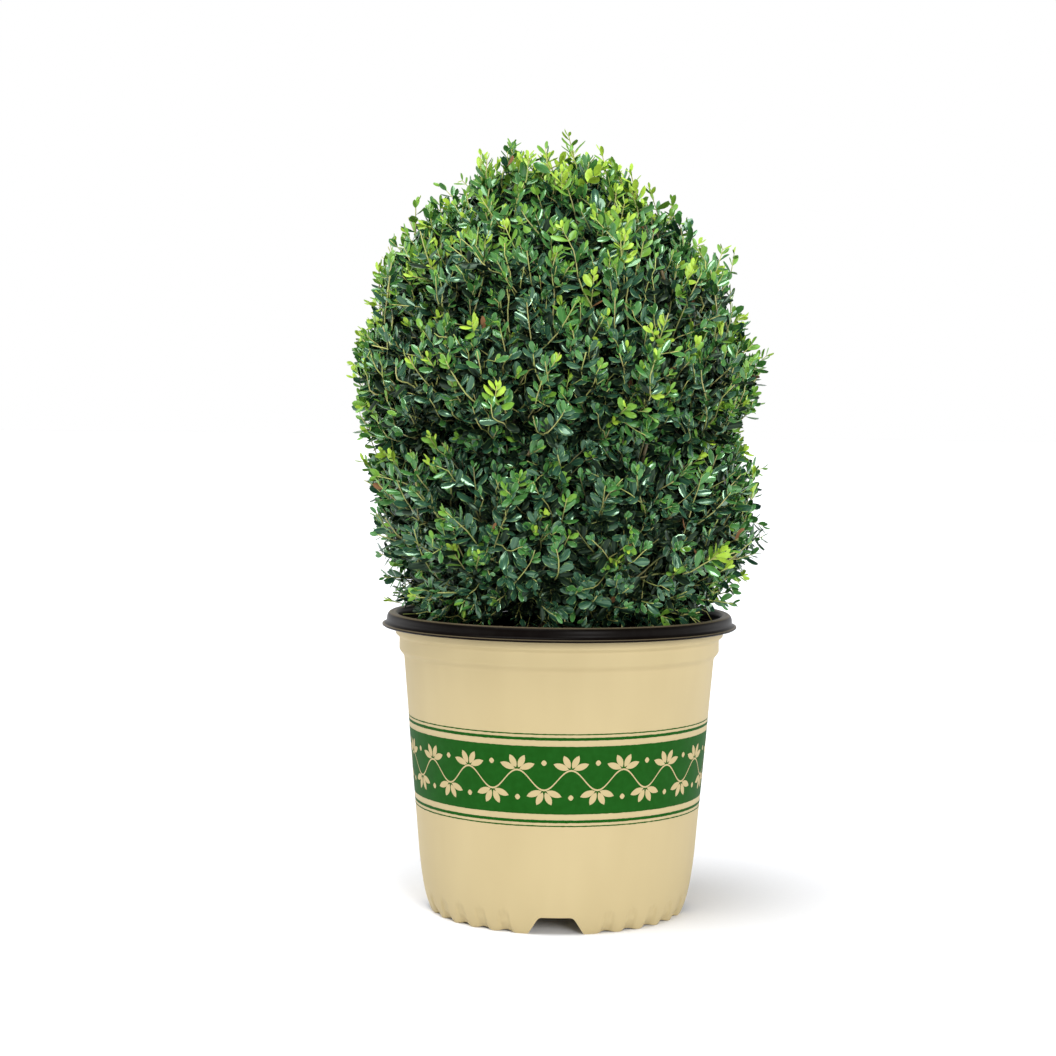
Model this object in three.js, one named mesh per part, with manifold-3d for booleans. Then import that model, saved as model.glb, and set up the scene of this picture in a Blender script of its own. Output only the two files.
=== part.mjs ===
// A clipped boxwood, rounded towards a blunt tip, growing in a nursery pot that stands on the ground.
// Millimetres, +Z up. The origin is on the ground, under the middle of the pot, and -Y is the front.
import * as THREE from "three";
import { mergeVertices } from "three/addons/utils/BufferGeometryUtils.js";
import Module from "manifold-3d";

const wasm = await Module();
wasm.setup();

// Driving dimensions of the pot
const POT_HEIGHT = 233;
const RIM_RADIUS = 140;
const RIM_BORE_RADIUS = 127.2;
const RIM_DEPTH = 10.7;
const RIM_BEAD_RADIUS = 136.6;
const RIM_LIP_HEIGHT = 2;
const WALL_THICKNESS = 1.6;
const FOOT_EDGE_RADIUS = 102;
const FOOT_RADIUS = 108.5;
const FOOT_CORNER_HEIGHT = 16;
const SKIRT_BORE_RADIUS = 97;
const SHOULDER_RADIUS = 122.5;
const SHOULDER_HEIGHT = 198;
const COLLAR_RADIUS = 126.4;
const COLLAR_HEIGHT = 206;
const FLARE_HEIGHT = 213;
const FLARE_RADIUS = 129.8;
const FLOOR_TOP = 16;
const FLOOR_THICKNESS = 2;
const LINING_THICKNESS = 1;
const FIT_GAP = 0.3;

// The drain notches in the foot, the holes over them, and the thumb-shaped flutes between them
const NOTCH_COUNT = 4;
const NOTCH_WIDTH_AT_GROUND = 43;
const NOTCH_WIDTH_AT_TOP = 26;
const NOTCH_HEIGHT = 13.4;
const DRAIN_HOLE_RADIUS = 7;
const DRAIN_HOLE_CIRCLE = 86;
const DRAIN_HOLE_FLATS = 12;
const FLUTE_PITCHES = 32;
const FLUTE_RADIUS = 6;
const FLUTE_DEPTH = 2.5;
const FLUTE_TOP_HEIGHT = 17;
const FLUTE_FOOT_INSET = 8;
const FLUTE_FLATS = 8;
const FLUTE_CAP_RINGS = 2;
const PLAIN_PITCHES_BY_NOTCH = 2;

// The potting mix
const SOIL_EDGE_HEIGHT = 211;
const SOIL_CROWN_HEIGHT = 217;
const SOIL_FLAT_RADIUS = 22;

// The trunk and the boughs
const TRUNK_FOOT_HEIGHT = SOIL_CROWN_HEIGHT + FIT_GAP;
const TRUNK_TIP_HEIGHT = 290;
const TRUNK_RADIUS = 10;
const TRUNK_TIP_RADIUS = 7.5;
const ROOT_FLARE = 0.55;
const ROOT_FLARE_FADE = 7;
const TRUNK_LEAN = 3;
const TRUNK_BEND = 16;
const TRUNK_FLATS = 12;
const TRUNK_STEPS = 8;
const FORK_HEIGHT = 262;
const BARE_MIDDLE_HEIGHT = 330;
const BOUGH_RADIUS = 3.8;
const BOUGH_TIP_RADIUS = 2.4;
const BOUGH_SPREAD = 0.5;
const BOUGH_RISE = 0.25;
const BOUGH_STRAIGHT_END = 0.35;
const BOUGH_FLATS = 6;
const BOUGH_STEPS = 4;
const STEM_RADIUS = 2.2;
const BOUGH_STOPS_SHORT = 3;
const LEADER_BORE_RADIUS = 6;
const LEADER_BORE_FLATS = 8;

// The crown's outline is a dome over a fuller, squarer skirt, both measured from the widest level
const CROWN_RADIUS = 160;
const CROWN_WIDEST_HEIGHT = 390;
const CROWN_TOP_HEIGHT = 602;
const CROWN_BOTTOM_HEIGHT = 222;
const DOME_POWER = 2;
const SKIRT_POWER = 4;
const FURTHEST_REACH = 1.045;
const CORE_SHARE = 0.8;
const CORE_SHARE_AT_BOTTOM = 0.89;
const CORE_RELIEF = 0.03;
const CORE_WAVES = 9;
const CORE_WAVE_TWIST = 9;
const CLEAR_OF_RIM = 8;
const CLEAR_ABOVE_RIM = 2;
const CLEAR_ABOVE_SOIL = 3;

// Where the crown's masses are centred: rings of boughs' ends, from the lowest to the tip
const MASS_RINGS = [
  { name: "lower", count: 5, radius: 95, height: 300, turn: 18, leavesTrunkAt: 243 },
  { name: "upper", count: 5, radius: 92, height: 425, turn: 54, leavesTrunkAt: 262 },
  { name: "top", count: 1, radius: 0, height: 520, turn: 0, leavesTrunkAt: TRUNK_TIP_HEIGHT },
];
const MASS_GAP = 0.5;

// Twigs and leaves, fewer than on the plant and larger than life
const TWIG_COUNT = 110;
const TWIG_RADIUS = 2;
const TWIG_TIP_RADIUS = 1.2;
const TWIG_FLATS = 3;
const TWIG_ROOT_SHARE = 0.75;
const TWIG_ROOT_STEP = 0.1;
const TWIG_TIP_DEPTH = 23;
const TWIG_TIP_SPREAD = 8;
const TWIG_TURN_SPREAD = 0.2;
const LOWEST_TWIG_SLOPE = -0.9;
const LEAF_LENGTH = 35;
const LEAF_WIDTH = 20;
const LEAF_THICKNESS = 1.7;
const LEAF_WIDEST_AT = 0.56;
const LEAF_ROOT_DEPTH = 0.3;
const LEAF_SPLAY = 0.56;
const LEAF_PAIRS = [0.72];
const LEAF_FITS = [1, 0.85, 0.7];
const LEAF_SIZE_SPREAD = 0.12;
const TIP_LEAF_SIZE = 0.9;
const TIP_LEAF_DEPTH = 1.5;
const LEAF_MARGIN = MASS_GAP / 2;
const GOLDEN_ANGLE = Math.PI * (3 - Math.sqrt(5));
const SEED = 17;
const DRAW = { turn: 0, depth: 1, roll: 2, leafSize: 3 };

// How finely round shapes are cut into flats
const POT_FLATS = 48;
const SOIL_FLATS = 32;
const CORE_FLATS = 30;
const CORE_RINGS = 12;
const CURVE_STEPS = 2;
const MERGE_DISTANCE = 1e-3;
const BEYOND_EVERYTHING = 900;
const UP = new THREE.Vector3(0, 0, 1);

// A number from 0 to 1 that depends only on its place in the growth rule, so each build is the same.
function seeded(index, draw) {
  const wave = Math.sin((index + 1) * 127.1 + (draw + 1) * 311.7 + SEED) * 43758.5453;
  return wave - Math.floor(wave);
}

function solidFrom(geometry) {
  const bare = new THREE.BufferGeometry();
  bare.setAttribute("position", geometry.getAttribute("position"));
  bare.setIndex(geometry.index);
  const merged = mergeVertices(bare, MERGE_DISTANCE);
  const corners = merged.index.array;
  const triangles = [];
  for (let i = 0; i < corners.length; i += 3) {
    const [a, b, c] = corners.slice(i, i + 3);
    if (a !== b && b !== c && c !== a) {
      triangles.push(a, b, c);
    }
  }
  const mesh = new wasm.Mesh({
    numProp: 3,
    vertProperties: new Float32Array(merged.getAttribute("position").array),
    triVerts: new Uint32Array(triangles),
  });
  return new wasm.Manifold(mesh);
}

// The largest closed body of a joined solid, without loose scraps or the hollows that joining sealed.
function mainBody(solid) {
  const bodies = solid.decompose();
  return bodies.reduce((best, body) => (body.volume() > best.volume() ? body : best));
}

function meshOf(name, solid, material) {
  const { numProp, numVert, vertProperties, triVerts } = mainBody(solid).getMesh();
  const places = new Float32Array(numVert * 3);
  for (let i = 0; i < numVert; i++) {
    places.set(vertProperties.subarray(i * numProp, i * numProp + 3), i * 3);
  }
  const geometry = new THREE.BufferGeometry();
  geometry.setAttribute("position", new THREE.BufferAttribute(places, 3));
  geometry.setIndex(new THREE.BufferAttribute(triVerts, 1));
  geometry.computeVertexNormals();
  const mesh = new THREE.Mesh(geometry, material);
  mesh.name = name;
  return mesh;
}

// A profile of radius against height, turned about the vertical axis.
function spun(profile, flats) {
  return solidFrom(new THREE.LatheGeometry(profile, flats).rotateX(Math.PI / 2));
}

// A limb along a curve: a cylinder whose rings are carried along it and take the radius there.
function limb(curve, radiusAt, sides, steps) {
  const geometry = new THREE.CylinderGeometry(1, 1, 1, sides, steps);
  const frames = curve.computeFrenetFrames(steps);
  const position = geometry.getAttribute("position");
  for (let i = 0; i < position.count; i++) {
    const along = position.getY(i) + 0.5;
    const ring = Math.round(along * steps);
    const radius = radiusAt(along);
    const place = curve
      .getPointAt(along)
      .addScaledVector(frames.normals[ring], radius * position.getX(i))
      .addScaledVector(frames.binormals[ring], -radius * position.getZ(i));
    position.setXYZ(i, place.x, place.y, place.z);
  }
  return solidFrom(geometry);
}

function taper(from, to) {
  return (along) => THREE.MathUtils.lerp(from, to, along);
}

// The outside of the pot's wall, from the ground to under the rim, as radius against height.
function wallOutside() {
  const path = new THREE.Path();
  path.moveTo(FOOT_EDGE_RADIUS, 0);
  path.quadraticCurveTo(FOOT_RADIUS, FOOT_CORNER_HEIGHT / 4, FOOT_RADIUS, FOOT_CORNER_HEIGHT);
  path.lineTo(SHOULDER_RADIUS, SHOULDER_HEIGHT);
  path.quadraticCurveTo(SHOULDER_RADIUS, COLLAR_HEIGHT, COLLAR_RADIUS, COLLAR_HEIGHT);
  path.lineTo(COLLAR_RADIUS, FLARE_HEIGHT);
  path.lineTo(FLARE_RADIUS, rimUnderside());
  return path.getPoints(CURVE_STEPS);
}

function rimUnderside() {
  return POT_HEIGHT - RIM_DEPTH - FIT_GAP;
}

// The wall's plainer inner line, or one further in, from a height near the floor up to the rim.
function sleeve(inwards, foot) {
  return [
    new THREE.Vector2(FOOT_RADIUS - inwards, foot),
    new THREE.Vector2(SHOULDER_RADIUS - inwards, SHOULDER_HEIGHT),
    new THREE.Vector2(COLLAR_RADIUS - inwards, FLARE_HEIGHT),
    new THREE.Vector2(FLARE_RADIUS - inwards, rimUnderside()),
  ];
}

function potWall() {
  const outside = wallOutside();
  const floorUnderside = FLOOR_TOP - FLOOR_THICKNESS;
  const profile = [
    new THREE.Vector2(0, floorUnderside),
    new THREE.Vector2(SKIRT_BORE_RADIUS, floorUnderside),
    new THREE.Vector2(SKIRT_BORE_RADIUS, 0),
    ...outside,
    ...sleeve(WALL_THICKNESS, FLOOR_TOP).reverse(),
    new THREE.Vector2(0, FLOOR_TOP),
  ];
  const cutters = [...drainCutters(), ...fluteCutters()];
  return cutters.reduce((wall, cutter) => wall.subtract(cutter), spun(profile, POT_FLATS));
}

// Notches that let water out under the skirt, each with a round hole in the floor behind it.
function drainCutters() {
  const cutters = [];
  const notch = new THREE.Shape();
  notch.moveTo(-NOTCH_WIDTH_AT_GROUND / 2, -FIT_GAP);
  notch.lineTo(NOTCH_WIDTH_AT_GROUND / 2, -FIT_GAP);
  notch.lineTo(NOTCH_WIDTH_AT_TOP / 2, NOTCH_HEIGHT);
  notch.lineTo(-NOTCH_WIDTH_AT_TOP / 2, NOTCH_HEIGHT);
  notch.closePath();
  for (let i = 0; i < NOTCH_COUNT; i++) {
    const turn = (i * 2 * Math.PI) / NOTCH_COUNT;
    const depth = RIM_RADIUS - DRAIN_HOLE_CIRCLE;
    const slot = new THREE.ExtrudeGeometry(notch, { depth, bevelEnabled: false });
    slot.rotateX(Math.PI / 2).translate(0, -DRAIN_HOLE_CIRCLE, 0).rotateZ(turn);
    const hole = new THREE.CylinderGeometry(
      DRAIN_HOLE_RADIUS,
      DRAIN_HOLE_RADIUS,
      FLOOR_TOP,
      DRAIN_HOLE_FLATS,
    );
    hole.rotateX(Math.PI / 2).translate(0, -DRAIN_HOLE_CIRCLE, FLOOR_TOP).rotateZ(turn);
    cutters.push(solidFrom(slot), solidFrom(hole));
  }
  return cutters;
}

// Round-topped flutes that run down the foot's corner, left out where a notch is.
function fluteCutters() {
  const cutters = [];
  const notchPitch = FLUTE_PITCHES / NOTCH_COUNT;
  const axisRadius = FOOT_RADIUS + FLUTE_RADIUS - FLUTE_DEPTH;
  const top = new THREE.Vector3(0, -axisRadius, FLUTE_TOP_HEIGHT - FLUTE_RADIUS);
  const foot = new THREE.Vector3(0, top.y + FLUTE_FOOT_INSET, -FLUTE_RADIUS);
  const upright = new THREE.Vector3(0, 1, 0);
  const alongFlute = top.clone().sub(foot);
  const lean = new THREE.Quaternion().setFromUnitVectors(upright, alongFlute.clone().normalize());
  for (let i = 0; i < FLUTE_PITCHES; i++) {
    const fromNotch = Math.min(i % notchPitch, notchPitch - (i % notchPitch));
    if (fromNotch < PLAIN_PITCHES_BY_NOTCH) {
      continue;
    }
    const flute = new THREE.CapsuleGeometry(
      FLUTE_RADIUS,
      alongFlute.length(),
      FLUTE_CAP_RINGS,
      FLUTE_FLATS,
    );
    flute.applyQuaternion(lean).translate(0, (top.y + foot.y) / 2, (top.z + foot.z) / 2);
    flute.rotateZ((i * 2 * Math.PI) / FLUTE_PITCHES);
    cutters.push(solidFrom(flute));
  }
  return cutters;
}

// The black skin that lines the wall, from the floor to the rim.
function potLining() {
  const foot = FLOOR_TOP + FIT_GAP;
  const outer = sleeve(WALL_THICKNESS + FIT_GAP, foot);
  const inner = sleeve(WALL_THICKNESS + FIT_GAP + LINING_THICKNESS, foot);
  return spun([...outer, ...inner.reverse(), outer[0]], POT_FLATS);
}

// The rolled rim: a rounded bead that falls to a lip standing out at its lower edge.
function potRim() {
  const underside = POT_HEIGHT - RIM_DEPTH;
  const lipTop = underside + RIM_LIP_HEIGHT;
  const crestRadius = (RIM_BEAD_RADIUS + RIM_BORE_RADIUS) / 2;
  const path = new THREE.Path();
  path.moveTo(RIM_BORE_RADIUS, underside);
  path.lineTo(RIM_RADIUS, underside);
  path.lineTo(RIM_RADIUS, lipTop);
  path.quadraticCurveTo(RIM_BEAD_RADIUS, lipTop, RIM_BEAD_RADIUS, lipTop + RIM_LIP_HEIGHT);
  path.quadraticCurveTo(RIM_BEAD_RADIUS, POT_HEIGHT, crestRadius, POT_HEIGHT);
  path.quadraticCurveTo(RIM_BORE_RADIUS, POT_HEIGHT, RIM_BORE_RADIUS, underside + RIM_DEPTH / 2);
  path.lineTo(RIM_BORE_RADIUS, underside);
  return spun(path.getPoints(CURVE_STEPS), POT_FLATS);
}

function liningInsideRadius(height) {
  const upTheTaper = (height - FOOT_CORNER_HEIGHT) / (SHOULDER_HEIGHT - FOOT_CORNER_HEIGHT);
  const outside = THREE.MathUtils.lerp(FOOT_RADIUS, SHOULDER_RADIUS, Math.min(upTheTaper, 1));
  return outside - WALL_THICKNESS - FIT_GAP - LINING_THICKNESS;
}

function rootBall() {
  const clearance = 2 * FIT_GAP;
  const foot = FLOOR_TOP + FIT_GAP;
  const profile = [
    new THREE.Vector2(0, foot),
    new THREE.Vector2(liningInsideRadius(foot) - clearance, foot),
    new THREE.Vector2(liningInsideRadius(SHOULDER_HEIGHT) - clearance, SHOULDER_HEIGHT),
    new THREE.Vector2(liningInsideRadius(SHOULDER_HEIGHT) - clearance, SOIL_EDGE_HEIGHT),
    new THREE.Vector2(SOIL_FLAT_RADIUS, SOIL_CROWN_HEIGHT),
    new THREE.Vector2(0, SOIL_CROWN_HEIGHT),
  ];
  return spun(profile, SOIL_FLATS);
}

// The trunk leans a little, flares at its foot and is cut flat there.
function trunk(clearance) {
  const curve = new THREE.CubicBezierCurve3(
    new THREE.Vector3(-TRUNK_LEAN, 0, TRUNK_FOOT_HEIGHT),
    new THREE.Vector3(-TRUNK_LEAN, 0, TRUNK_FOOT_HEIGHT + TRUNK_BEND),
    new THREE.Vector3(0, 0, TRUNK_TIP_HEIGHT - TRUNK_BEND),
    new THREE.Vector3(0, 0, TRUNK_TIP_HEIGHT + clearance),
  );
  const bare = taper(TRUNK_RADIUS + clearance, TRUNK_TIP_RADIUS + clearance);
  const flared = (along) => bare(along) * (1 + ROOT_FLARE * Math.exp(-along * ROOT_FLARE_FADE));
  return limb(curve, flared, TRUNK_FLATS, TRUNK_STEPS);
}

// How far out a point lies in the crown: 0 in the middle of its widest level, 1 on its mean outline.
function share(point) {
  const above = point.z >= CROWN_WIDEST_HEIGHT;
  const power = above ? DOME_POWER : SKIRT_POWER;
  const rise = above ? CROWN_TOP_HEIGHT - CROWN_WIDEST_HEIGHT : CROWN_WIDEST_HEIGHT - CROWN_BOTTOM_HEIGHT;
  const across = Math.hypot(point.x, point.y) / CROWN_RADIUS;
  const upright = Math.abs(point.z - CROWN_WIDEST_HEIGHT) / rise;
  return (across ** power + upright ** power) ** (1 / power);
}

const crownMiddle = new THREE.Vector3(0, 0, CROWN_WIDEST_HEIGHT);

// The point that lies in a direction from the crown's middle, at a share of the way to its outline.
function crownPoint(direction, wantedShare) {
  const reach = wantedShare / share(crownMiddle.clone().add(direction));
  return crownMiddle.clone().addScaledVector(direction, reach);
}

// The ends of the boughs, each the middle of one mass.
function massSites() {
  const sites = [];
  for (const ring of MASS_RINGS) {
    for (let i = 0; i < ring.count; i++) {
      const turn = THREE.MathUtils.degToRad(ring.turn + (i * 360) / ring.count);
      const place = new THREE.Vector3(ring.radius, 0, ring.height).applyAxisAngle(UP, turn);
      const name = ring.count > 1 ? `${ring.name}_${i + 1}` : ring.name;
      sites.push({ name, place, leavesTrunkAt: ring.leavesTrunkAt });
    }
  }
  return sites;
}

const sites = massSites();

// The middles of the bare space inside the crown, which the trunk and the boughs have to themselves.
const fork = new THREE.Vector3(0, 0, FORK_HEIGHT);
const bareMiddle = new THREE.Vector3(0, 0, BARE_MIDDLE_HEIGHT);

function placesAround(site) {
  return [...sites.filter((other) => other !== site).map((other) => other.place), fork, bareMiddle];
}

// How far a point is inside the space of one site, measured to the nearest face of that space.
function depthInSpace(point, site) {
  const depths = placesAround(site).map((other) => {
    const towards = other.clone().sub(site.place).normalize();
    const halfway = other.clone().add(site.place).multiplyScalar(0.5);
    return halfway.sub(point).dot(towards);
  });
  return Math.min(...depths);
}

function nearestSite(point) {
  return sites.reduce((best, site) =>
    site.place.distanceTo(point) < best.place.distanceTo(point) ? site : best,
  );
}

// Above the potting mix, and above the rim where it is over the rim.
function clearOfPot(point) {
  const overRim = Math.hypot(point.x, point.y) > RIM_BORE_RADIUS - CLEAR_OF_RIM;
  return point.z > (overRim ? POT_HEIGHT + CLEAR_ABOVE_RIM : SOIL_CROWN_HEIGHT + CLEAR_ABOVE_SOIL);
}

function keepsToSpace(points, site, margin) {
  return points.every(
    (point) => depthInSpace(point, site) > margin && share(point) < FURTHEST_REACH && clearOfPot(point),
  );
}

// A block that fills everything beyond the face halfway from a site to another point.
function blockBeyond(site, other) {
  const towards = other.clone().sub(site.place).normalize();
  const halfway = other.clone().add(site.place).multiplyScalar(0.5);
  const block = new THREE.BoxGeometry(BEYOND_EVERYTHING, BEYOND_EVERYTHING, BEYOND_EVERYTHING);
  block.translate(0, 0, BEYOND_EVERYTHING / 2 - MASS_GAP / 2);
  block.applyQuaternion(new THREE.Quaternion().setFromUnitVectors(UP, towards));
  block.translate(halfway.x, halfway.y, halfway.z);
  return solidFrom(block);
}

// The dense inside of the clipped crown, bumpy like clipped growth, before it is parted into masses. It is
// bored out where the leader runs up between them.
function crownCore() {
  const profile = [];
  for (let i = 0; i <= CORE_RINGS; i++) {
    const slope = -Math.PI / 2 + (i * Math.PI) / CORE_RINGS;
    const direction = new THREE.Vector3(Math.cos(slope), 0, Math.sin(slope));
    const coreShare = THREE.MathUtils.lerp(CORE_SHARE_AT_BOTTOM, CORE_SHARE, i / CORE_RINGS);
    const point = crownPoint(direction, coreShare);
    profile.push(new THREE.Vector2(i % CORE_RINGS ? point.x : 0, point.z));
  }
  const geometry = new THREE.LatheGeometry(profile, CORE_FLATS).rotateX(Math.PI / 2);
  const position = geometry.getAttribute("position");
  for (let i = 0; i < position.count; i++) {
    const point = new THREE.Vector3().fromBufferAttribute(position, i);
    const turn = Math.atan2(point.y, point.x);
    const onAxis = Math.hypot(point.x, point.y) < MERGE_DISTANCE;
    const wave = onAxis ? 0 : Math.sin(CORE_WAVES * turn + point.z / CORE_WAVE_TWIST);
    point.sub(crownMiddle).multiplyScalar(1 + CORE_RELIEF * wave).add(crownMiddle);
    position.setXYZ(i, point.x, point.y, point.z);
  }
  const boreTop = boughEnd(sites[sites.length - 1]).z + BOUGH_STOPS_SHORT + LEADER_BORE_RADIUS;
  const bore = new THREE.CylinderGeometry(
    LEADER_BORE_RADIUS,
    LEADER_BORE_RADIUS,
    boreTop,
    LEADER_BORE_FLATS,
  );
  bore.rotateX(Math.PI / 2).translate(0, 0, boreTop / 2);
  return solidFrom(geometry).subtract(solidFrom(bore));
}

// Where a bough ends: on its way from the fork to its mass, just short of that mass's space.
function boughEnd(site) {
  const end = site.place.clone();
  while (depthInSpace(end, site) > -BOUGH_STOPS_SHORT) {
    end.addScaledVector(intoMass(site), -1);
  }
  return end;
}

function intoMass(site) {
  return site.place.clone().sub(fork).normalize();
}

// A bough leaves the trunk steeply outwards and turns up towards its mass.
function bough(site) {
  const end = boughEnd(site);
  const start = new THREE.Vector3(0, 0, site.leavesTrunkAt);
  const outwards = new THREE.Vector3(
    end.x * BOUGH_SPREAD,
    end.y * BOUGH_SPREAD,
    THREE.MathUtils.lerp(start.z, end.z, BOUGH_RISE),
  );
  const straightEnd = BOUGH_STRAIGHT_END * start.distanceTo(end);
  const towardsMass = end.clone().addScaledVector(intoMass(site), -straightEnd);
  const curve = new THREE.CubicBezierCurve3(start, outwards, towardsMass, end);
  const whole = limb(curve, taper(BOUGH_RADIUS, BOUGH_TIP_RADIUS), BOUGH_FLATS, BOUGH_STEPS);
  return whole.subtract(trunk(FIT_GAP));
}

const blade = new THREE.OctahedronGeometry(1);

// Puts a leaf's root at a point, its length along one direction and its upper side towards another.
function leafMatrix(root, along, upper) {
  const across = new THREE.Vector3().crossVectors(upper, along).normalize();
  const face = new THREE.Vector3().crossVectors(along, across);
  return new THREE.Matrix4().makeBasis(across, face, along).setPosition(root);
}

// An eight-faced leaf, widest past its middle.
function leafGeometry(matrix, size) {
  const geometry = blade.clone();
  const position = geometry.getAttribute("position");
  for (let i = 0; i < position.count; i++) {
    const z = position.getZ(i);
    const along = Math.abs(z) < 0.5 ? LEAF_WIDEST_AT : (z + 1) / 2;
    position.setXYZ(
      i,
      (position.getX(i) * LEAF_WIDTH * size) / 2,
      (position.getY(i) * LEAF_THICKNESS) / 2,
      along * LEAF_LENGTH * size,
    );
  }
  return geometry.applyMatrix4(matrix);
}

function cornersOf(geometry) {
  const position = geometry.getAttribute("position");
  const corner = (_, i) => new THREE.Vector3().fromBufferAttribute(position, i);
  return Array.from({ length: position.count }, corner);
}

// The growth rule. Twig number i heads for its own point of a golden-angle spiral over the outline, from
// the middle of the mass that owns that point.
function twigRule(i) {
  const slope = 1 - ((i + 0.5) / TWIG_COUNT) * (1 - LOWEST_TWIG_SLOPE);
  const turn = i * GOLDEN_ANGLE + (seeded(i, DRAW.turn) - 0.5) * TWIG_TURN_SPREAD;
  const level = Math.sqrt(1 - slope * slope);
  const direction = new THREE.Vector3(level * Math.cos(turn), level * Math.sin(turn), slope);
  const outline = crownPoint(direction, 1);
  const site = nearestSite(outline);
  const depth = TWIG_TIP_DEPTH + (0.5 - seeded(i, DRAW.depth)) * TWIG_TIP_SPREAD;
  const tip = outline.addScaledVector(direction, -depth);
  const root = tip.clone();
  while (share(root) > TWIG_ROOT_SHARE) {
    root.lerp(site.place, TWIG_ROOT_STEP);
  }
  return { site, root, tip, roll: seeded(i, DRAW.roll) * Math.PI };
}

// The twig as a solid, with opposite pairs of leaves along it, each pair at right angles to the last, and
// one leaf at its tip. A leaf that would cross the growth already there is tried smaller, then left out.
function twigWithLeaves(i, grown) {
  const { site, root, tip, roll } = twigRule(i);
  const radiusAt = taper(TWIG_RADIUS, TWIG_TIP_RADIUS);
  const stick = limb(new THREE.LineCurve3(root, tip), radiusAt, TWIG_FLATS, 1);
  if (!keepsToSpace([root, tip], site, TWIG_RADIUS + LEAF_MARGIN) || crosses(stick, grown)) {
    return [];
  }
  const pieces = [stick];
  const axis = tip.clone().sub(root).normalize();
  const side = UP.clone().cross(axis).normalize().applyAxisAngle(axis, roll);
  const addLeaf = (place, along, upper, size) => {
    const matrix = leafMatrix(place.clone().addScaledVector(along, -LEAF_ROOT_DEPTH), along, upper);
    for (const fit of LEAF_FITS) {
      const geometry = leafGeometry(matrix, fit * size);
      const leaf = solidFrom(geometry);
      if (keepsToSpace(cornersOf(geometry), site, LEAF_MARGIN) && !crosses(leaf, grown)) {
        pieces.push(leaf);
        return;
      }
    }
  };
  addLeaf(tip.clone().addScaledVector(axis, -TIP_LEAF_DEPTH), axis, side, TIP_LEAF_SIZE);
  LEAF_PAIRS.forEach((where, pair) => {
    const place = root.clone().lerp(tip, where);
    for (const flip of [0, Math.PI]) {
      const outwards = side.clone().applyAxisAngle(axis, (pair * Math.PI) / 2 + flip);
      const along = axis.clone().lerp(outwards, LEAF_SPLAY).normalize();
      addLeaf(place, along, axis, 1 - LEAF_SIZE_SPREAD * seeded(i, DRAW.leafSize + pair));
    }
  });
  return pieces;
}

function boxesMeet(a, b) {
  return a.min.every((low, axis) => low < b.max[axis]) && b.min.every((low, axis) => low < a.max[axis]);
}

function crosses(piece, others) {
  const box = piece.boundingBox();
  return others.some((other) => boxesMeet(box, other.boundingBox()) && !piece.intersect(other).isEmpty());
}

// One mass: its part of the core, cut clear of its neighbours, with its stem, its twigs and their leaves.
function mass(site, core, growth) {
  const own = placesAround(site).reduce((left, other) => left.subtract(blockBeyond(site, other)), core);
  const stemFoot = boughEnd(site).addScaledVector(intoMass(site), FIT_GAP);
  const stemCurve = new THREE.LineCurve3(stemFoot, site.place);
  const stem = limb(stemCurve, taper(BOUGH_TIP_RADIUS, STEM_RADIUS), BOUGH_FLATS, 1);
  return [stem, ...growth].reduce((joined, piece) => joined.add(piece), own);
}

const cream = new THREE.MeshStandardMaterial({ color: 0xdcc997, roughness: 0.55, metalness: 0 });
const black = new THREE.MeshStandardMaterial({ color: 0x1a1412, roughness: 0.4, metalness: 0 });
const pottingMix = new THREE.MeshStandardMaterial({ color: 0x2b211a, roughness: 0.95, metalness: 0 });
const bark = new THREE.MeshStandardMaterial({ color: 0x8a7a5c, roughness: 0.85, metalness: 0 });
const foliage = new THREE.MeshStandardMaterial({ color: 0x2e5a2c, roughness: 0.4, metalness: 0 });

const plant = new THREE.Group();
plant.add(meshOf("pot_wall", potWall(), cream));
plant.add(meshOf("pot_lining", potLining(), black));
plant.add(meshOf("pot_rim", potRim(), black));
plant.add(meshOf("root_ball", rootBall(), pottingMix));
plant.add(meshOf("trunk", trunk(0), bark));

const twigs = Array.from({ length: TWIG_COUNT }, (_, i) => i);
const core = crownCore();
for (const site of sites) {
  const growth = [];
  for (const i of twigs.filter((twig) => twigRule(twig).site === site)) {
    growth.push(...twigWithLeaves(i, growth));
  }
  plant.add(meshOf(`bough_${site.name}`, bough(site), bark));
  plant.add(meshOf(`foliage_${site.name}`, mass(site, core, growth), foliage));
}

export default plant;
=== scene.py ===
# A clipped boxwood in its nursery pot: the finished surfaces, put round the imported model.
import functools
import math
from typing import NamedTuple

import bmesh
import bpy
import numpy as np
from mathutils import Euler, Matrix, Vector, noise


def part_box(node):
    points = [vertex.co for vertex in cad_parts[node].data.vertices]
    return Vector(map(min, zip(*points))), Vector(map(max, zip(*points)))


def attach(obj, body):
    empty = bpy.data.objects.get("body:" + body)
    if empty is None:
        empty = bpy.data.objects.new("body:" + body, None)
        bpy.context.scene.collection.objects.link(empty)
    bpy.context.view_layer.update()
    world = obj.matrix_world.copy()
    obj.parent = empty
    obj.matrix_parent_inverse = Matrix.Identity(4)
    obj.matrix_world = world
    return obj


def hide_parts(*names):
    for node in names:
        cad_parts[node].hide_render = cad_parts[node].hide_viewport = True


bl_info = {
    "name": "Potted boxwood",
    "version": (1, 0, 0),
    "blender": (4, 5, 0),
    "location": "3D View > Sidebar > Boxwood",
    "description": "Dresses a clipped boxwood and its nursery pot, piece by piece",
    "category": "Object",
}

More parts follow.
